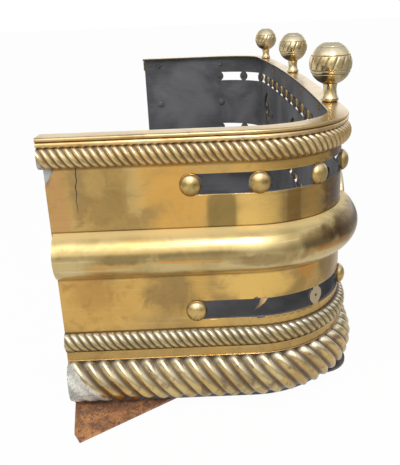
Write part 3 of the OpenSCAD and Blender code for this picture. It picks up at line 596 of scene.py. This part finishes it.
# A pierced sheet: a flat sheet of t and z is triangulated round its openings, then bent along
# the wall; a collar round each opening turns the light as a rounded edge does
def piercedSheet(name, offOut, offIn, outline, loops, material, node, collarWide=0.0):
    (tLow, low), (tHigh, high) = outline.min(0), outline.max(0)
    t = wallSteps(tLow, tHigh, sheets["fine"], sheets["coarse"])[1:-1]
    grid = np.stack(np.meshgrid(t, np.linspace(low, high, 14)[1:-1]), -1).reshape(-1, 2)
    grown = [loop.mean(0) + (loop - loop.mean(0)) * 1.03 for loop in loops]
    rings = [np.float32(ring).astype(float) for ring in [outline] + loops]
    into = []  # from each ring's points into its opening
    for ring in rings:
        along = np.roll(ring, -1, 0) - np.roll(ring, 1, 0)
        area = (ring[:, 0] * np.roll(ring[:, 1], -1) - np.roll(ring[:, 0], -1) * ring[:, 1]).sum()
        side = np.stack([-along[:, 1], along[:, 0]], -1) * np.sign(area)
        into.append(side / np.maximum(np.linalg.norm(side, axis=1), 1e-9)[:, None])
    collar = [ring - side * collarWide for ring, side in zip(rings[1:], into[1:]) if collarWide]
    flat, faces, rim = fillSheet(rings, [grid[between(grid, outline, grown)]] + collar,
                                 outline, loops, -1, 1e-7)
    n = len(flat)
    outer, inner = (wallPoint(flat[:, 0], off, flat[:, 1]) for off in (offOut, offIn))
    piece = makePiece(name, np.concatenate([outer, inner]),
                      [faces, faces[:, ::-1] + n, rimWalls(rim, n)], material, sharp=50, node=node,
                      uv=np.concatenate([flat, flat + [0, 0.5]]),
                      marks={"painted": np.repeat([0.0, 1.0], n)})
    # exact outward normals, so that the bent metal reflects without facets
    mesh = piece.data
    loopVerts, loopNormals = np.zeros(len(mesh.loops), int), np.zeros(len(mesh.loops) * 3)
    mesh.loops.foreach_get("vertex_index", loopVerts)
    mesh.corner_normals.foreach_get("vector", loopNormals)
    loopNormals = loopNormals.reshape(-1, 3)
    out = wallOut(np.tile(flat[:, 0], 2)[loopVerts])
    lean = np.einsum("ij,ij->i", out, loopNormals)
    tilt = np.zeros((2 * n, 2))
    if collarWide:
        # a point of the sheet has the same key as its point of the ring, in micrometres
        key, ringKey = (np.round(p[:, 0] * 1e6) * 1e7 + np.round(p[:, 1] * 1e6)
                        for p in (flat, np.concatenate(rings[1:])))
        order = np.argsort(ringKey)
        at = np.minimum(np.searchsorted(ringKey[order], key), len(order) - 1)
        onRing = ringKey[order][at] == key
        tilt[:n][onRing] = np.concatenate(into[1:])[order[at[onRing]]]
    side = np.stack([-out[:, 1], out[:, 0], np.zeros(len(out))], -1)
    turnOut = out - 0.5 * tilt[loopVerts, :1] * side + 0.5 * tilt[loopVerts, 1:] * [0, 0, 1]
    turnOut /= np.linalg.norm(turnOut, axis=1)[:, None]
    loopNormals[lean > 0.7], loopNormals[lean < -0.7] = turnOut[lean > 0.7], -out[lean < -0.7]
    mesh.normals_split_custom_set(loopNormals.tolist())


# The sheet's four sides from its foot to its top, with a notch torn from its left end
def sheetOutline(low, notch=None):
    t = wallSteps(-wallEnd, wallEnd, sheets["fine"], sheets["coarse"])
    rise = np.linspace(low, sheets["top"], 12)[1:-1]
    end = line(wallEnd, rise)
    if notch is not None:
        end = np.concatenate([end[end[:, 1] < notch[:, 1].min()], notch])
    return np.concatenate([line(t, low), end, line(t[::-1], sheets["top"]),
                           line(-wallEnd, rise[::-1])])


upperDiscs = list(range(rows["count"]))
lowerDiscs = [k for k in upperDiscs if k != rows["lostDisc"]]
upperWindows, lowerWindows = rowLoops(rows["upper"], upperDiscs), rowLoops(rows["lower"], lowerDiscs)
holes = [circleLoop(t, roundelZ, sheets["behindRoundel"]) for t in (roundelT, 0.0, -roundelT)]
holes += [circleLoop(studT[rows["lostStud"]], rows["lower"], sheets["shankHole"], 20)]

# the crack in the skin by the left end: down one side and up the other, closed at its foot
crackT = np.array([0.7942, 0.7952, 0.7949, 0.7968, 0.7962, 0.7976, 0.7969, 0.7970])
crackZ = np.array([0.2735, 0.2665, 0.2600, 0.2540, 0.2475, 0.2400, 0.2330, 0.2270])
crackHalf = np.array([0.0004, 0.0006, 0.0004, 0.0006, 0.0004, 0.0003, 0.0002, 0.0001])
crack = np.concatenate([line(crackT + crackHalf, crackZ), line(crackT - crackHalf, crackZ)[::-1]])
# the corner torn from the skin's left end, from the wall's end inwards
notch = np.array([[0, 0.2560], [-0.0012, 0.2590], [-0.0045, 0.2625], [-0.0060, 0.2660],
                  [-0.0098, 0.2705], [-0.0105, 0.2745]]) + [wallEnd, 0]

skinWindows = upperWindows + [tornLoop(lowerWindows[0])] + lowerWindows[1:]
piercedSheet("skinSheet", 0.0, -wall["skin"], sheetOutline(sheets["skinLow"], notch),
             skinWindows + holes + [crack], brass["mottled"], "brass_skin",
             collarWide=sheets["collar"])
piercedSheet("liningSheet", liningOut, liningIn, sheetOutline(sheets["liningLow"]),
             upperWindows + lowerWindows + holes, liningPaint, "iron_lining")

# The tongue of skin that curls out from the torn window's top, wide at its root
tongue = {"root": 0.0030, "above": 0.0004, "drop": 0.0108, "slide": 0.0090, "curl": 0.0030,
          "half": 0.0036, "dish": 0.0012, "thick": 0.0009, "long": 15, "wide": 9}
s, w = np.meshgrid(np.linspace(0, 1, tongue["long"]), np.linspace(-1, 1, tongue["wide"]),
                   indexing="ij")
tongueT = lostT - tongue["root"] + tongue["slide"] * s ** 1.3 + tongue["half"] * (1 - 0.4 * s) * w
tongueZ = rows["lower"] + rows["windowHigh"] / 2 + tongue["above"]
tongueZ = tongueZ - tongue["drop"] * s - tongue["dish"] * w * s
tongueOff = tongue["curl"] * np.sin(math.pi * 0.62 * s) + tongue["dish"] * s * w ** 2
front, back = (wallPoint(tongueT, tongueOff - deep, tongueZ).reshape(-1, 3)
               for deep in (0, tongue["thick"]))
grid, ids = gridFaces(*s.shape), np.arange(s.size).reshape(s.shape)
rim = np.concatenate([ids[0], ids[1:, -1], ids[-1, ::-1][1:], ids[::-1, 0][1:-1]])
makePiece("tornTongue", np.concatenate([front, back]),
          [grid, grid[:, ::-1] + s.size, rimWalls(np.stack([rim, np.roll(rim, -1)], -1), s.size)],
          brass["dull"], node="brass_skin")
print("sheets pierced and bent")

# Mouldings carried along the wall
rail = {"inside": 0.0164, "outside": 0.0068, "bead": 0.0042, "cover": 0.0012, "ease": 0.0004}
bead, railEnd = rail["bead"] / 2, wallEnd + over
beadOff, beadZ, coverZ = rail["outside"] - bead, wall["top"] - bead, wall["top"] - rail["cover"]
railProfile = np.concatenate([
    [[-rail["inside"], wall["top"] - rail["ease"]], [-rail["inside"], coverZ],
     [beadOff - rail["cover"], coverZ]],
    arc(beadOff, beadZ, bead, -150, 90, 22), [[-rail["inside"] + rail["ease"], wall["top"]]]])
sweepAlongWall("railCover", railProfile, -railEnd, railEnd, brass["rail"], "top_rail")


# A roll: half a circle on a square back that lies on the wall
def rollProfile(look, n):
    r = (look["high"] - look["low"]) / 2
    return np.concatenate([[[seam, look["high"]], [seam, look["low"]]],
                           arc(look["out"] - r, look["low"] + r, r, -90, 90, n)])


fascia = {"low": 0.29500, "high": 0.30065, "out": 0.0066}
sweepAlongWall("fasciaRoll", rollProfile(fascia, 14), -railEnd, railEnd, brass["roll"],
               "rail_fascia")

fillet = {"low": 0.06085, "high": 0.07055, "out": 0.0024, "ease": 0.0003}
filletProfile = [[seam, fillet["high"]], [seam, fillet["low"]],
                 [fillet["out"] - fillet["ease"], fillet["low"]],
                 [fillet["out"], fillet["low"] + fillet["ease"]],
                 [fillet["out"], fillet["high"] - fillet["ease"]],
                 [fillet["out"] - fillet["ease"], fillet["high"]]]
sweepAlongWall("baseFillet", filletProfile, -wallEnd, wallEnd, brass["fillet"], "base_fillet")

# The half-round band in four lengths, each end by a roundel cut to its rim
band = {"half": 0.0254, "proud": 0.0208, "sheet": 0.0014, "cut": 0.0483, "short": 0.002}
bandR = arcRadius(band["half"], band["proud"])
bandOff = band["proud"] - bandR
outerTurn, innerTurn = (math.degrees(math.acos((seam - bandOff) / r))
                        for r in (bandR, bandR - band["sheet"]))
bandProfile = np.concatenate([
    arc(bandOff, roundelZ, bandR, -outerTurn, outerTurn, 44),
    arc(bandOff, roundelZ, bandR - band["sheet"], innerTurn, -innerTurn, 28)])
cutBack = np.sqrt(band["cut"] ** 2 - (bandProfile[:, 1] - roundelZ) ** 2)
bandEnd = wallEnd - band["short"]
bandLengths = {
    "bandLeft": (roundelT + cutBack, bandEnd, "bolection_left"),
    "bandFrontLeft": (cutBack, roundelT - cutBack, "bolection_front_left"),
    "bandFrontRight": (cutBack - roundelT, -cutBack, "bolection_front_right"),
    "bandRight": (-bandEnd, -roundelT - cutBack, "bolection_right")}
for name, (start, end, node) in bandLengths.items():
    sweepAlongWall(name, bandProfile, start, end, brass["band"], node, fine=0.0018)
print("mouldings carried along the wall")


# What the three cables share: the swell's softness, the slant and length of a worn end's edge,
# how far solder fills the strands there, and where the darkening along both sides begins
cableLook = {"softness": 0.7, "slant": 0.75, "fade": 0.012, "filled": 0.7, "darkFrom": 0.88}


# A cable: round the half-round section every strand swells and sinks as a cosine once a pitch,
# and its line slides along the wall by lean times the sine of the way round; the ends are cut
# square, so there the grid is drawn in while the strands keep their lean
def cable(name, look, material, node):
    reach = wallEnd + look["over"]
    strands = round(2 * reach / look["pitch"])
    pitch = 2 * reach / strands
    cols, n = strands * look["perStrand"], look["round"]
    a = np.radians(np.linspace(-90, 90, n))[None, :]
    c = np.linspace(-reach, reach, cols + 1)[:, None]
    lean = look["climb"] * pitch / 2
    t = c + lean * np.minimum(1, (reach - np.abs(c)) / (2 * lean)) * np.sin(a)
    swell = 0.5 + 0.5 * np.cos(2 * math.pi * (t - lean * np.sin(a)) / pitch)
    swell = swell ** look["softness"]
    wornEnd = look["wornEnd"] * (1 - look["slant"] * np.sin(a)) if look["wornEnd"] else -math.inf
    wear = np.clip((t - reach + wornEnd) / look["fade"], 0, 1)
    depth = look["groove"] * (1 - swell) * (1 - look["filled"] * wear)
    points = wallPoint(t, seam + (look["proud"] - seam) * (1 - depth) * np.cos(a),
                       look["z"] + look["half"] * (1 - depth * look["scallop"]) * np.sin(a))
    # both edges, where the cable meets the skin, are darkened through the groove mark
    edge = np.clip((np.abs(np.sin(a)) - look["darkFrom"]) / (1 - look["darkFrom"]), 0, 1)
    i = np.arange(cols) * n
    caps = [np.arange(n)[None, ::-1], cols * n + np.arange(n)[None, :]]
    back = np.stack([i, i + n, i + 2 * n - 1, i + n - 1], -1)[:, ::-1]
    girth = np.broadcast_to(np.linspace(0, look["half"] * 2.6, n), t.shape)
    makePiece(name, points.reshape(-1, 3), [gridFaces(cols + 1, n), back] + caps, material,
              uv=np.stack([t, girth], -1).reshape(-1, 2), sharp=60, node=node,
              marks={"groove": np.maximum(1 - swell, edge).ravel(), "worn": wear.ravel()})


cable("upperCable", {**cableLook, "z": 0.2845, "half": 0.0113, "proud": 0.0103, "pitch": 0.0077,
                     "over": over, "climb": 1.75, "groove": 0.25, "scallop": 0.3,
                     "perStrand": 10, "round": 15, "wornEnd": 0.006}, brass["upperRope"], "upper_rope")
cable("lowerCable", {**cableLook, "z": 0.0818, "half": 0.0110, "proud": 0.0093, "pitch": 0.0081,
                     "over": 0.0, "climb": 1.8, "groove": 0.24, "scallop": 0.2,
                     "perStrand": 10, "round": 15, "wornEnd": 0}, brass["lowerRope"], "lower_rope")
cable("baseCable", {**cableLook, "z": 0.0345, "half": 0.0262, "proud": 0.0174, "pitch": 0.0157,
                    "over": 0.0, "climb": 2.1, "groove": 0.24, "scallop": 0.7,
                    "perStrand": 14, "round": 25, "wornEnd": 0.029}, brass["baseRope"], "base_rope")
# the thin bright lip that closes the base cable against the fillet
lip = {"low": 0.0598, "high": 0.0609, "out": 0.0037}
sweepAlongWall("baseCableLip", rollProfile(lip, 8), -wallEnd, wallEnd, brass["rail"], "base_rope")
print("cables laid")


# A profile of radius and height turned round the upright axis; push adds to its radius
def turned(profile, sides, push=None):
    a = np.linspace(0, 2 * math.pi, sides, endpoint=False)
    r, h = profile[:, :1], profile[:, 1:]
    if push is not None:
        r = r + push(a, h)
    return np.stack(np.broadcast_arrays(r * np.cos(a), r * np.sin(a), h), -1).reshape(-1, 3)


# Turned shapes of one kind in one mesh, each closed by a cap at both ends; marks have a value
# for each point of one shape, or for each of its rows
def turnedGroup(name, shapes, sides, material, node, sharp=35, **marks):
    size, steps = len(shapes[0]), len(shapes[0]) // sides
    start, cap = np.arange(len(shapes))[:, None] * size, np.arange(sides)
    quads = (start[:, :, None] + gridFaces(steps, sides, wrapCols=True)).reshape(-1, 4)
    caps = np.stack([start + cap[::-1], start + size - sides + cap], 1).reshape(-1, sides)
    marks = {key: np.tile(np.broadcast_to(values, (steps, sides)).ravel(), len(shapes))
             for key, values in marks.items()}
    makePiece(name, np.concatenate(shapes), [quads, caps], material, marks=marks, sharp=sharp,
              node=node)


# Studs: a low dome outside, a shank through the sheets and a riveted head inside
stud = {"r": 0.0112, "proud": 0.0080, "tall": 1.06, "shank": 0.0025, "tail": 0.0045,
        "head": 0.0024, "sides": 28, "steps": 15, "tip": 2e-4, "darkening": 0.0030}
studProfile = np.concatenate([
    arc(0, seam, stud["r"], 90, 0, stud["steps"], stud["proud"]),
    [[stud["shank"], seam], [stud["shank"], insideFace]],
    arc(0, insideFace, stud["tail"], 0, 90, 6, -stud["head"])])
studProfile[:, 0] = np.maximum(studProfile[:, 0], stud["tip"])
studPaint = np.arange(len(studProfile)) >= stud["steps"]  # all that faces inwards is painted black
# each dome darkens towards its seat on the sheet: painted shade
studSeatShade = np.clip(1 - (studProfile[:, 1] - seam) / stud["darkening"], 0, 1) * ~studPaint


# The domes stand a little taller than they are wide; shanks and riveted heads stay round
def makeStuds(name, z, which, node):
    shapes = [onWall(turned(studProfile, stud["sides"]), studT[k], z) for k in which]
    dome = stud["steps"] * stud["sides"]
    for shape in shapes:
        shape[:dome, 2] = z + (shape[:dome, 2] - z) * stud["tall"]
    turnedGroup(name, shapes, stud["sides"], brass["stud"], node,
                groove=studSeatShade[:, None], painted=studPaint[:, None])


makeStuds("upperStuds", rows["upper"], upperDiscs, "upper_ball_studs")
makeStuds("lowerStuds", rows["lower"], [k for k in lowerDiscs if k != rows["lostStud"]],
          "lower_ball_studs")

# Rivets of the band: big soft heads inside the lining, shanks through both sheets
bandRivet = {"r": 0.0092, "high": 0.0046, "shank": 0.0019, "out": -0.0001, "up": 0.002, "sides": 24,
             "fromEnd": (0.037, 0.204), "byRoundel": 0.090}
rivetProfile = np.concatenate([
    [[bandRivet["shank"], bandRivet["out"]], [bandRivet["shank"], insideFace]],
    arc(0, insideFace, bandRivet["r"], 0, 90, 9, -bandRivet["high"])])
rivetProfile[-1, 0] = stud["tip"]
rivetT = [wallEnd - end for end in bandRivet["fromEnd"]]
rivetT += [roundelT - bandRivet["byRoundel"], bandRivet["byRoundel"]]
rivet = turned(rivetProfile, bandRivet["sides"])
turnedGroup("bandRivets", [onWall(rivet, side * t, roundelZ + bandRivet["up"])
                           for t in rivetT for side in (1, -1)],
            bandRivet["sides"], blackPaint, "bolection_rivets")

# Finials: a ball with engraved rings and slanting cuts round its middle, on a waisted stem;
# angles are latitudes in degrees, and the cuts lie between two of the rings
finial = {"r": 0.0254, "rise": 0.0451, "in": 0.0046, "seat": 0.009, "foot": 0.0106,
          "footHigh": 0.004, "waist": 0.0078, "bore": 0.0034, "crown": 0.0016, "tip": 0.0004,
          "waistAt": 0.58, "gap": 0.0003, "cuts": 15, "cutDeep": 0.0008, "cutFrom": -17,
          "cutTo": 20, "cutFade": 4, "cutLean": 0.75, "cutWide": 0.11, "rings": (48, 21, -18, -28),
          "ringDeep": 0.0007, "ringWide": 1.1, "sides": 150, "stemSides": 64}
latTop = math.degrees(math.asin((finial["r"] - finial["crown"]) / finial["r"]))
latLow = -math.degrees(math.acos(finial["seat"] / finial["r"]))
lat = np.radians(np.concatenate([np.linspace(latTop, 24, 30)[:-1], np.linspace(24, -31, 70)[:-1],
                                 np.linspace(-31, latLow, 22)]))
ringMarks = sum(np.exp(-((np.degrees(lat) - ring) / finial["ringWide"]) ** 2)
                for ring in finial["rings"])


# Slanting cuts: narrow valleys at even angles that turn with height, and fade at both ends
def ballCuts(angle, height):
    la = np.degrees(np.arcsin(np.clip(height / finial["r"], -1, 1)))
    rise = la / (finial["rings"][1] - finial["rings"][2])
    phase = (angle * finial["cuts"] / (2 * math.pi) - rise * finial["cutLean"]) % 1
    valley = np.exp(-((phase - 0.5) / finial["cutWide"]) ** 2)
    for inside in (finial["cutTo"] - la, la - finial["cutFrom"]):
        valley = valley * np.clip(inside / finial["cutFade"], 0, 1)
    return valley


crownZ = finial["r"] - finial["crown"]  # the flat on top, a hair lower so that no faces meet
ballProfile = np.concatenate([
    [[finial["tip"], crownZ - 0.00001], [0.004, crownZ - 0.00003]],
    line(finial["r"] * np.cos(lat) - finial["ringDeep"] * ringMarks, finial["r"] * np.sin(lat)),
    [[finial["tip"], finial["r"] * np.sin(lat[-1])]]])
ballAngles = np.linspace(0, 2 * math.pi, finial["sides"], endpoint=False)
ballGroove = np.clip(ballCuts(ballAngles, ballProfile[:, 1:])
                     + np.concatenate([[0, 0], ringMarks, [0]])[:, None], 0, 1)
ball = turned(ballProfile, finial["sides"],
              push=lambda angle, height: -finial["cutDeep"] * ballCuts(angle, height))

seatRise = finial["rise"] - math.sqrt(finial["r"] ** 2 - finial["seat"] ** 2)
waistZ = (finial["footHigh"] + seatRise) * finial["waistAt"]


# From the waist the stem flares along an arc, up to the ball's seat and down to its foot
def flare(z, rise, step):
    r = arcRadius(rise, step)
    return line(finial["waist"] + r - np.sqrt(r ** 2 - (z - waistZ) ** 2), z)


stemTop = seatRise - finial["gap"]
stemProfile = np.concatenate([
    [[finial["bore"], 0.0002], [0.0086, 0.0002], [0.0100, 0.0010], [0.0106, 0.0023],
     [0.0105, 0.0034]],
    flare(np.linspace(finial["footHigh"], waistZ, 14), waistZ - finial["footHigh"],
          finial["foot"] - finial["waist"]),
    flare(np.linspace(waistZ, stemTop, 14)[1:], seatRise - waistZ,
          finial["seat"] - finial["waist"]),
    [[finial["bore"], stemTop]]])
stem = turned(stemProfile, finial["stemSides"])
for name, t in (("Left", roundelT), ("Centre", 0.0), ("Right", -roundelT)):
    foot = wallPoint(t, -finial["in"], wall["top"])
    turnedGroup("ball" + name, [ball + (foot + [0, 0, finial["rise"]])], finial["sides"],
                brass["turned"], "finial_ball_" + name.lower(), sharp=60, groove=ballGroove)
    turnedGroup("stem" + name, [stem + foot], finial["stemSides"], brass["turned"],
                "finial_stem_" + name.lower())
print("studs and finials turned")

# Roundels: a rounded rim, a flat web with petal openings and a domed boss, in one casting
roundel = {"r": 0.048, "rim": 0.0075, "proud": 0.010, "boss": 0.013, "petals": 8,
           "petalLong": 0.021, "petalWide": 0.009, "petalOut": 0.002, "web": 0.0016,
           "lift": 0.0003, "rimSides": 96, "bossSides": 48}
rimIn, rimHalf = roundel["r"] - roundel["rim"], roundel["rim"] / 2


# Petal: two equal arcs that meet in a point at both ends
def petalLoop(angle):
    half, wide = roundel["petalLong"] / 2, roundel["petalWide"] / 2
    x = np.linspace(-half, half, 13)
    bow = arcRadius(half, wide)
    y = np.sqrt(bow ** 2 - x ** 2) - (bow - wide)
    loop = np.concatenate([line(x, y), line(x[::-1], -y[::-1])[1:-1]])
    loop[:, 0] += roundel["boss"] + roundel["petalOut"] + half
    turn = np.array([[math.cos(angle), math.sin(angle)], [-math.sin(angle), math.cos(angle)]])
    return loop @ turn


# Quads between two rows of points of the same length, closed round
def strip(lower, upper):
    return np.stack([lower, np.roll(lower, -1), np.roll(upper, -1), upper], -1)


# One closed skin: the web's front and back, the walls of its petals, and rows of the rim and
# the boss that start and end on the web's own circles
def roundelSkin():
    petals = [petalLoop((k + 0.5) * 2 * math.pi / roundel["petals"])
              for k in range(roundel["petals"])]
    rim = circleLoop(0, 0, rimIn, roundel["rimSides"])
    boss = circleLoop(0, 0, roundel["boss"], roundel["bossSides"])
    flat, faces, edges = fillSheet([rim, boss] + petals, [], rim, [boss] + petals, 1, 1e-8)
    n, away = len(flat), np.hypot(*flat.T)
    edges = edges[(away[edges[:, 0]] < rimIn - 1e-5) & (away[edges[:, 0]] > roundel["boss"] + 1e-5)]
    bossR, rimZ = arcRadius(roundel["boss"], roundel["proud"]), roundel["proud"] - rimHalf
    rimProfile = np.concatenate([arc(rimIn + rimHalf, rimZ, rimHalf, 180, 0, 20),
                                 [[roundel["r"], roundel["lift"]]]])
    bossTurn = math.degrees(math.acos(roundel["boss"] / bossR))
    bossProfile = arc(0, roundel["proud"] + roundel["lift"] - bossR, bossR, bossTurn,
                      90 - math.degrees(0.02), 12)
    points = np.concatenate(
        [np.column_stack([flat, np.full(n, roundel["lift"] + up)]) for up in (roundel["web"], 0)]
        + [turned(rimProfile, roundel["rimSides"]), turned(bossProfile, roundel["bossSides"])])

    # the web's points on a circle, in order of their angle
    def webCircle(radius, sides):
        at = np.where(np.abs(away - radius) < 2e-6)[0]
        angle = np.arctan2(flat[at, 1], flat[at, 0]) % (2 * math.pi)
        order = np.zeros(sides, int)
        order[np.round(angle / (2 * math.pi) * sides).astype(int) % sides] = at
        return order

    rimWeb = webCircle(rimIn, roundel["rimSides"])
    bossWeb = webCircle(roundel["boss"], roundel["bossSides"])
    rimRows = 2 * n + np.arange(len(rimProfile) * len(rimWeb)).reshape(-1, len(rimWeb))
    bossRows = np.arange(2 * n + rimRows.size, len(points)).reshape(-1, len(bossWeb))
    parts = [faces, faces[:, ::-1] + n, rimWalls(edges, n), strip(rimWeb, rimRows[0])]
    parts += [strip(a, b) for a, b in zip(rimRows[:-1], rimRows[1:])]
    parts += [strip(rimRows[-1], rimWeb + n), strip(bossRows[0], bossWeb)]
    parts += [strip(b, a) for a, b in zip(bossRows[:-1], bossRows[1:])]
    parts += [bossRows[-1][None, :], (bossWeb + n)[None, ::-1]]
    return points, parts


points, parts = roundelSkin()
for name, t in (("Left", roundelT), ("Centre", 0.0), ("Right", -roundelT)):
    makePiece("roundel" + name, onWall(points, t, roundelZ), parts, brass["turned"], sharp=40,
              node="roundel_" + name.lower(), marks={"painted": points[:, 2] < roundel["lift"] + 1e-6})
print("roundels cast")

# CAD nodes that keep their shape get their finish
blackNodes = ("roundel_rivets", "finial_rod_left", "finial_rod_centre", "finial_rod_right",
              "rope_rivets", "base_angle", "base_rivets", "bottom_plate", "corner_foot_left",
              "corner_foot_right")
rustNodes = ("rail_screws", "foot_plate_left", "foot_plate_right", "foot_rivets")
# the rail's bar takes the darker copy of the paint, as painted shade
for names, material in ((blackNodes, blackPaint), (rustNodes, rustyPlate),
                        (("rail_bar",), shadedBarPaint)):
    for name in names:
        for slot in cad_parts[name].material_slots:
            slot.material = material

# Floor: white to the camera with a trace of the shadow; metal sees it pale behind and greyer in front,
# where the grey is painted shade
stageLook = {"reach": 30, "below": 0.0005, "floor": (0.9, 0.9, 0.9, 1), "whiteShare": 0.96,
             "mirrored": (0.82, 0.82, 0.82, 1), "frontMirrored": (0.36, 0.36, 0.36, 1),
             "mirrorShare": 0.85, "frontFade": (-0.75, -0.1)}
white = (1, 1, 1, 1)
floorMesh = bpy.data.meshes.new("floor")
floorMesh.from_pydata([(x * stageLook["reach"], y * stageLook["reach"], -stageLook["below"])
                       for x, y in ((-1, -1), (1, -1), (1, 1), (-1, 1))], [], [(0, 1, 2, 3)])
floor = bpy.data.objects.new("floor", floorMesh)
bpy.context.collection.objects.link(floor)
material, wire = newMaterial("paleFloor")
cameraRay, glossyRay = (wire.node("ShaderNodeLightPath", out=k) for k in (0, 3))
toBack = wire.node("ShaderNodeTexCoord", out=3).axis(1).ease(*stageLook["frontFade"])
plain = wire.node("ShaderNodeBsdfDiffuse", None, {"Color": stageLook["floor"]})
bright = wire.node("ShaderNodeEmission", None, {"Color": white, "Strength": 1.0})
pale = wire.node("ShaderNodeEmission", None, {
    "Color": toBack.blend(stageLook["frontMirrored"], stageLook["mirrored"]), "Strength": 1.0})
mirrored = wire.node("ShaderNodeMixShader", None,
                     {0: glossyRay * stageLook["mirrorShare"], 1: plain, 2: pale})
mixed = wire.node("ShaderNodeMixShader", None,
                  {0: cameraRay * stageLook["whiteShare"], 1: mirrored, 2: bright})
wire.node("ShaderNodeOutputMaterial", None, {"Surface": mixed})
floorMesh.materials.append(material)

# Sky: white to the camera; a soft studio to the rest, darker to the right, dim at the horizon
# and bright overhead, with a low pale backdrop beyond the right end
skyLook = {"zenith": 1.1, "horizon": 0.38, "away": 0.5, "backdrop": 1.2, "ambient": 0.8}
world = bpy.data.worlds.new("studio")
bpy.context.scene.world = world
world.use_nodes = True
world.node_tree.nodes.clear()
sky = Wire(world.node_tree)
ray = sky.node("ShaderNodeTexCoord", out=0)
upward, toLeft = ray.axis(2), ray.axis(0) * -1
facing = toLeft.ease(-0.4, 0.6) * (1 - skyLook["away"]) + skyLook["away"]
high = upward.ease(0.02, 0.55)
level = facing * (skyLook["horizon"] * (1 - high) + high * skyLook["zenith"])
backdrop = (1 - toLeft.ease(-0.95, -0.2)) * (1 - upward.ease(0.15, 0.5))
level = level + backdrop * skyLook["backdrop"]
cameraRay, diffuseRay = (sky.node("ShaderNodeLightPath", out=k) for k in (0, 2))
level = diffuseRay * facing * skyLook["ambient"] + (1 - diffuseRay) * level
glow = sky.node("ShaderNodeBackground", None,
                {"Color": white, "Strength": cameraRay + (1 - cameraRay) * level})
sky.node("ShaderNodeOutputWorld", None, {"Surface": glow})

lamps = {"key": {"at": (-2.05, -0.16, 1.9), "size": 0.35, "power": 12, "aim": (-0.3, 0, 0.2)},
         "fill": {"at": (-1.3, 1.0, 1.7), "size": 1.2, "power": 1.5, "aim": (0, 0, 0.2)},
         "inside": {"at": (-2.7, 0.3, 1.75), "size": 2.4, "power": 16, "aim": (0.3, 0, 0.15)}}
for name, look in lamps.items():
    data = bpy.data.lights.new(name, "AREA")
    data.energy, data.size = look["power"], look["size"]
    lamp = bpy.data.objects.new(name, data)
    lamp.location = look["at"]
    aim = Vector(look["aim"]) - lamp.location
    lamp.rotation_mode = "QUATERNION"
    lamp.rotation_quaternion = aim.to_track_quat("-Z", "Y")
    bpy.context.collection.objects.link(lamp)

# The photograph's camera: low by the left end, looking along the front
shot = {"at": (-1.14078, 0.010293, 0.40869), "yaw": -0.251, "down": 19.686, "roll": 2.266,
        "lens": 46.99, "sensor": 36, "shiftX": -0.0301, "near": 0.01, "far": 100}
yaw, down, roll = (math.radians(shot[k]) for k in ("yaw", "down", "roll"))
ahead = Vector((math.cos(yaw) * math.cos(down), math.sin(yaw) * math.cos(down), -math.sin(down)))
right = Vector((math.sin(yaw), -math.cos(yaw), 0))
under = ahead.cross(right)
rightRolled = math.cos(roll) * right + math.sin(roll) * under
underRolled = -math.sin(roll) * right + math.cos(roll) * under
cameraData = bpy.data.cameras.new("view")
cameraData.lens, cameraData.sensor_width = shot["lens"], shot["sensor"]
cameraData.shift_x = shot["shiftX"]
cameraData.clip_start, cameraData.clip_end = shot["near"], shot["far"]
cameraObject = bpy.data.objects.new("view", cameraData)
cameraObject.matrix_world = Matrix.Translation(shot["at"]) @ Matrix(
    (rightRolled, -underRolled, -ahead)).transposed().to_4x4()
bpy.context.collection.objects.link(cameraObject)
bpy.context.scene.camera = cameraObject
bpy.context.scene.view_settings.view_transform = "Standard"
print("stage and camera set")
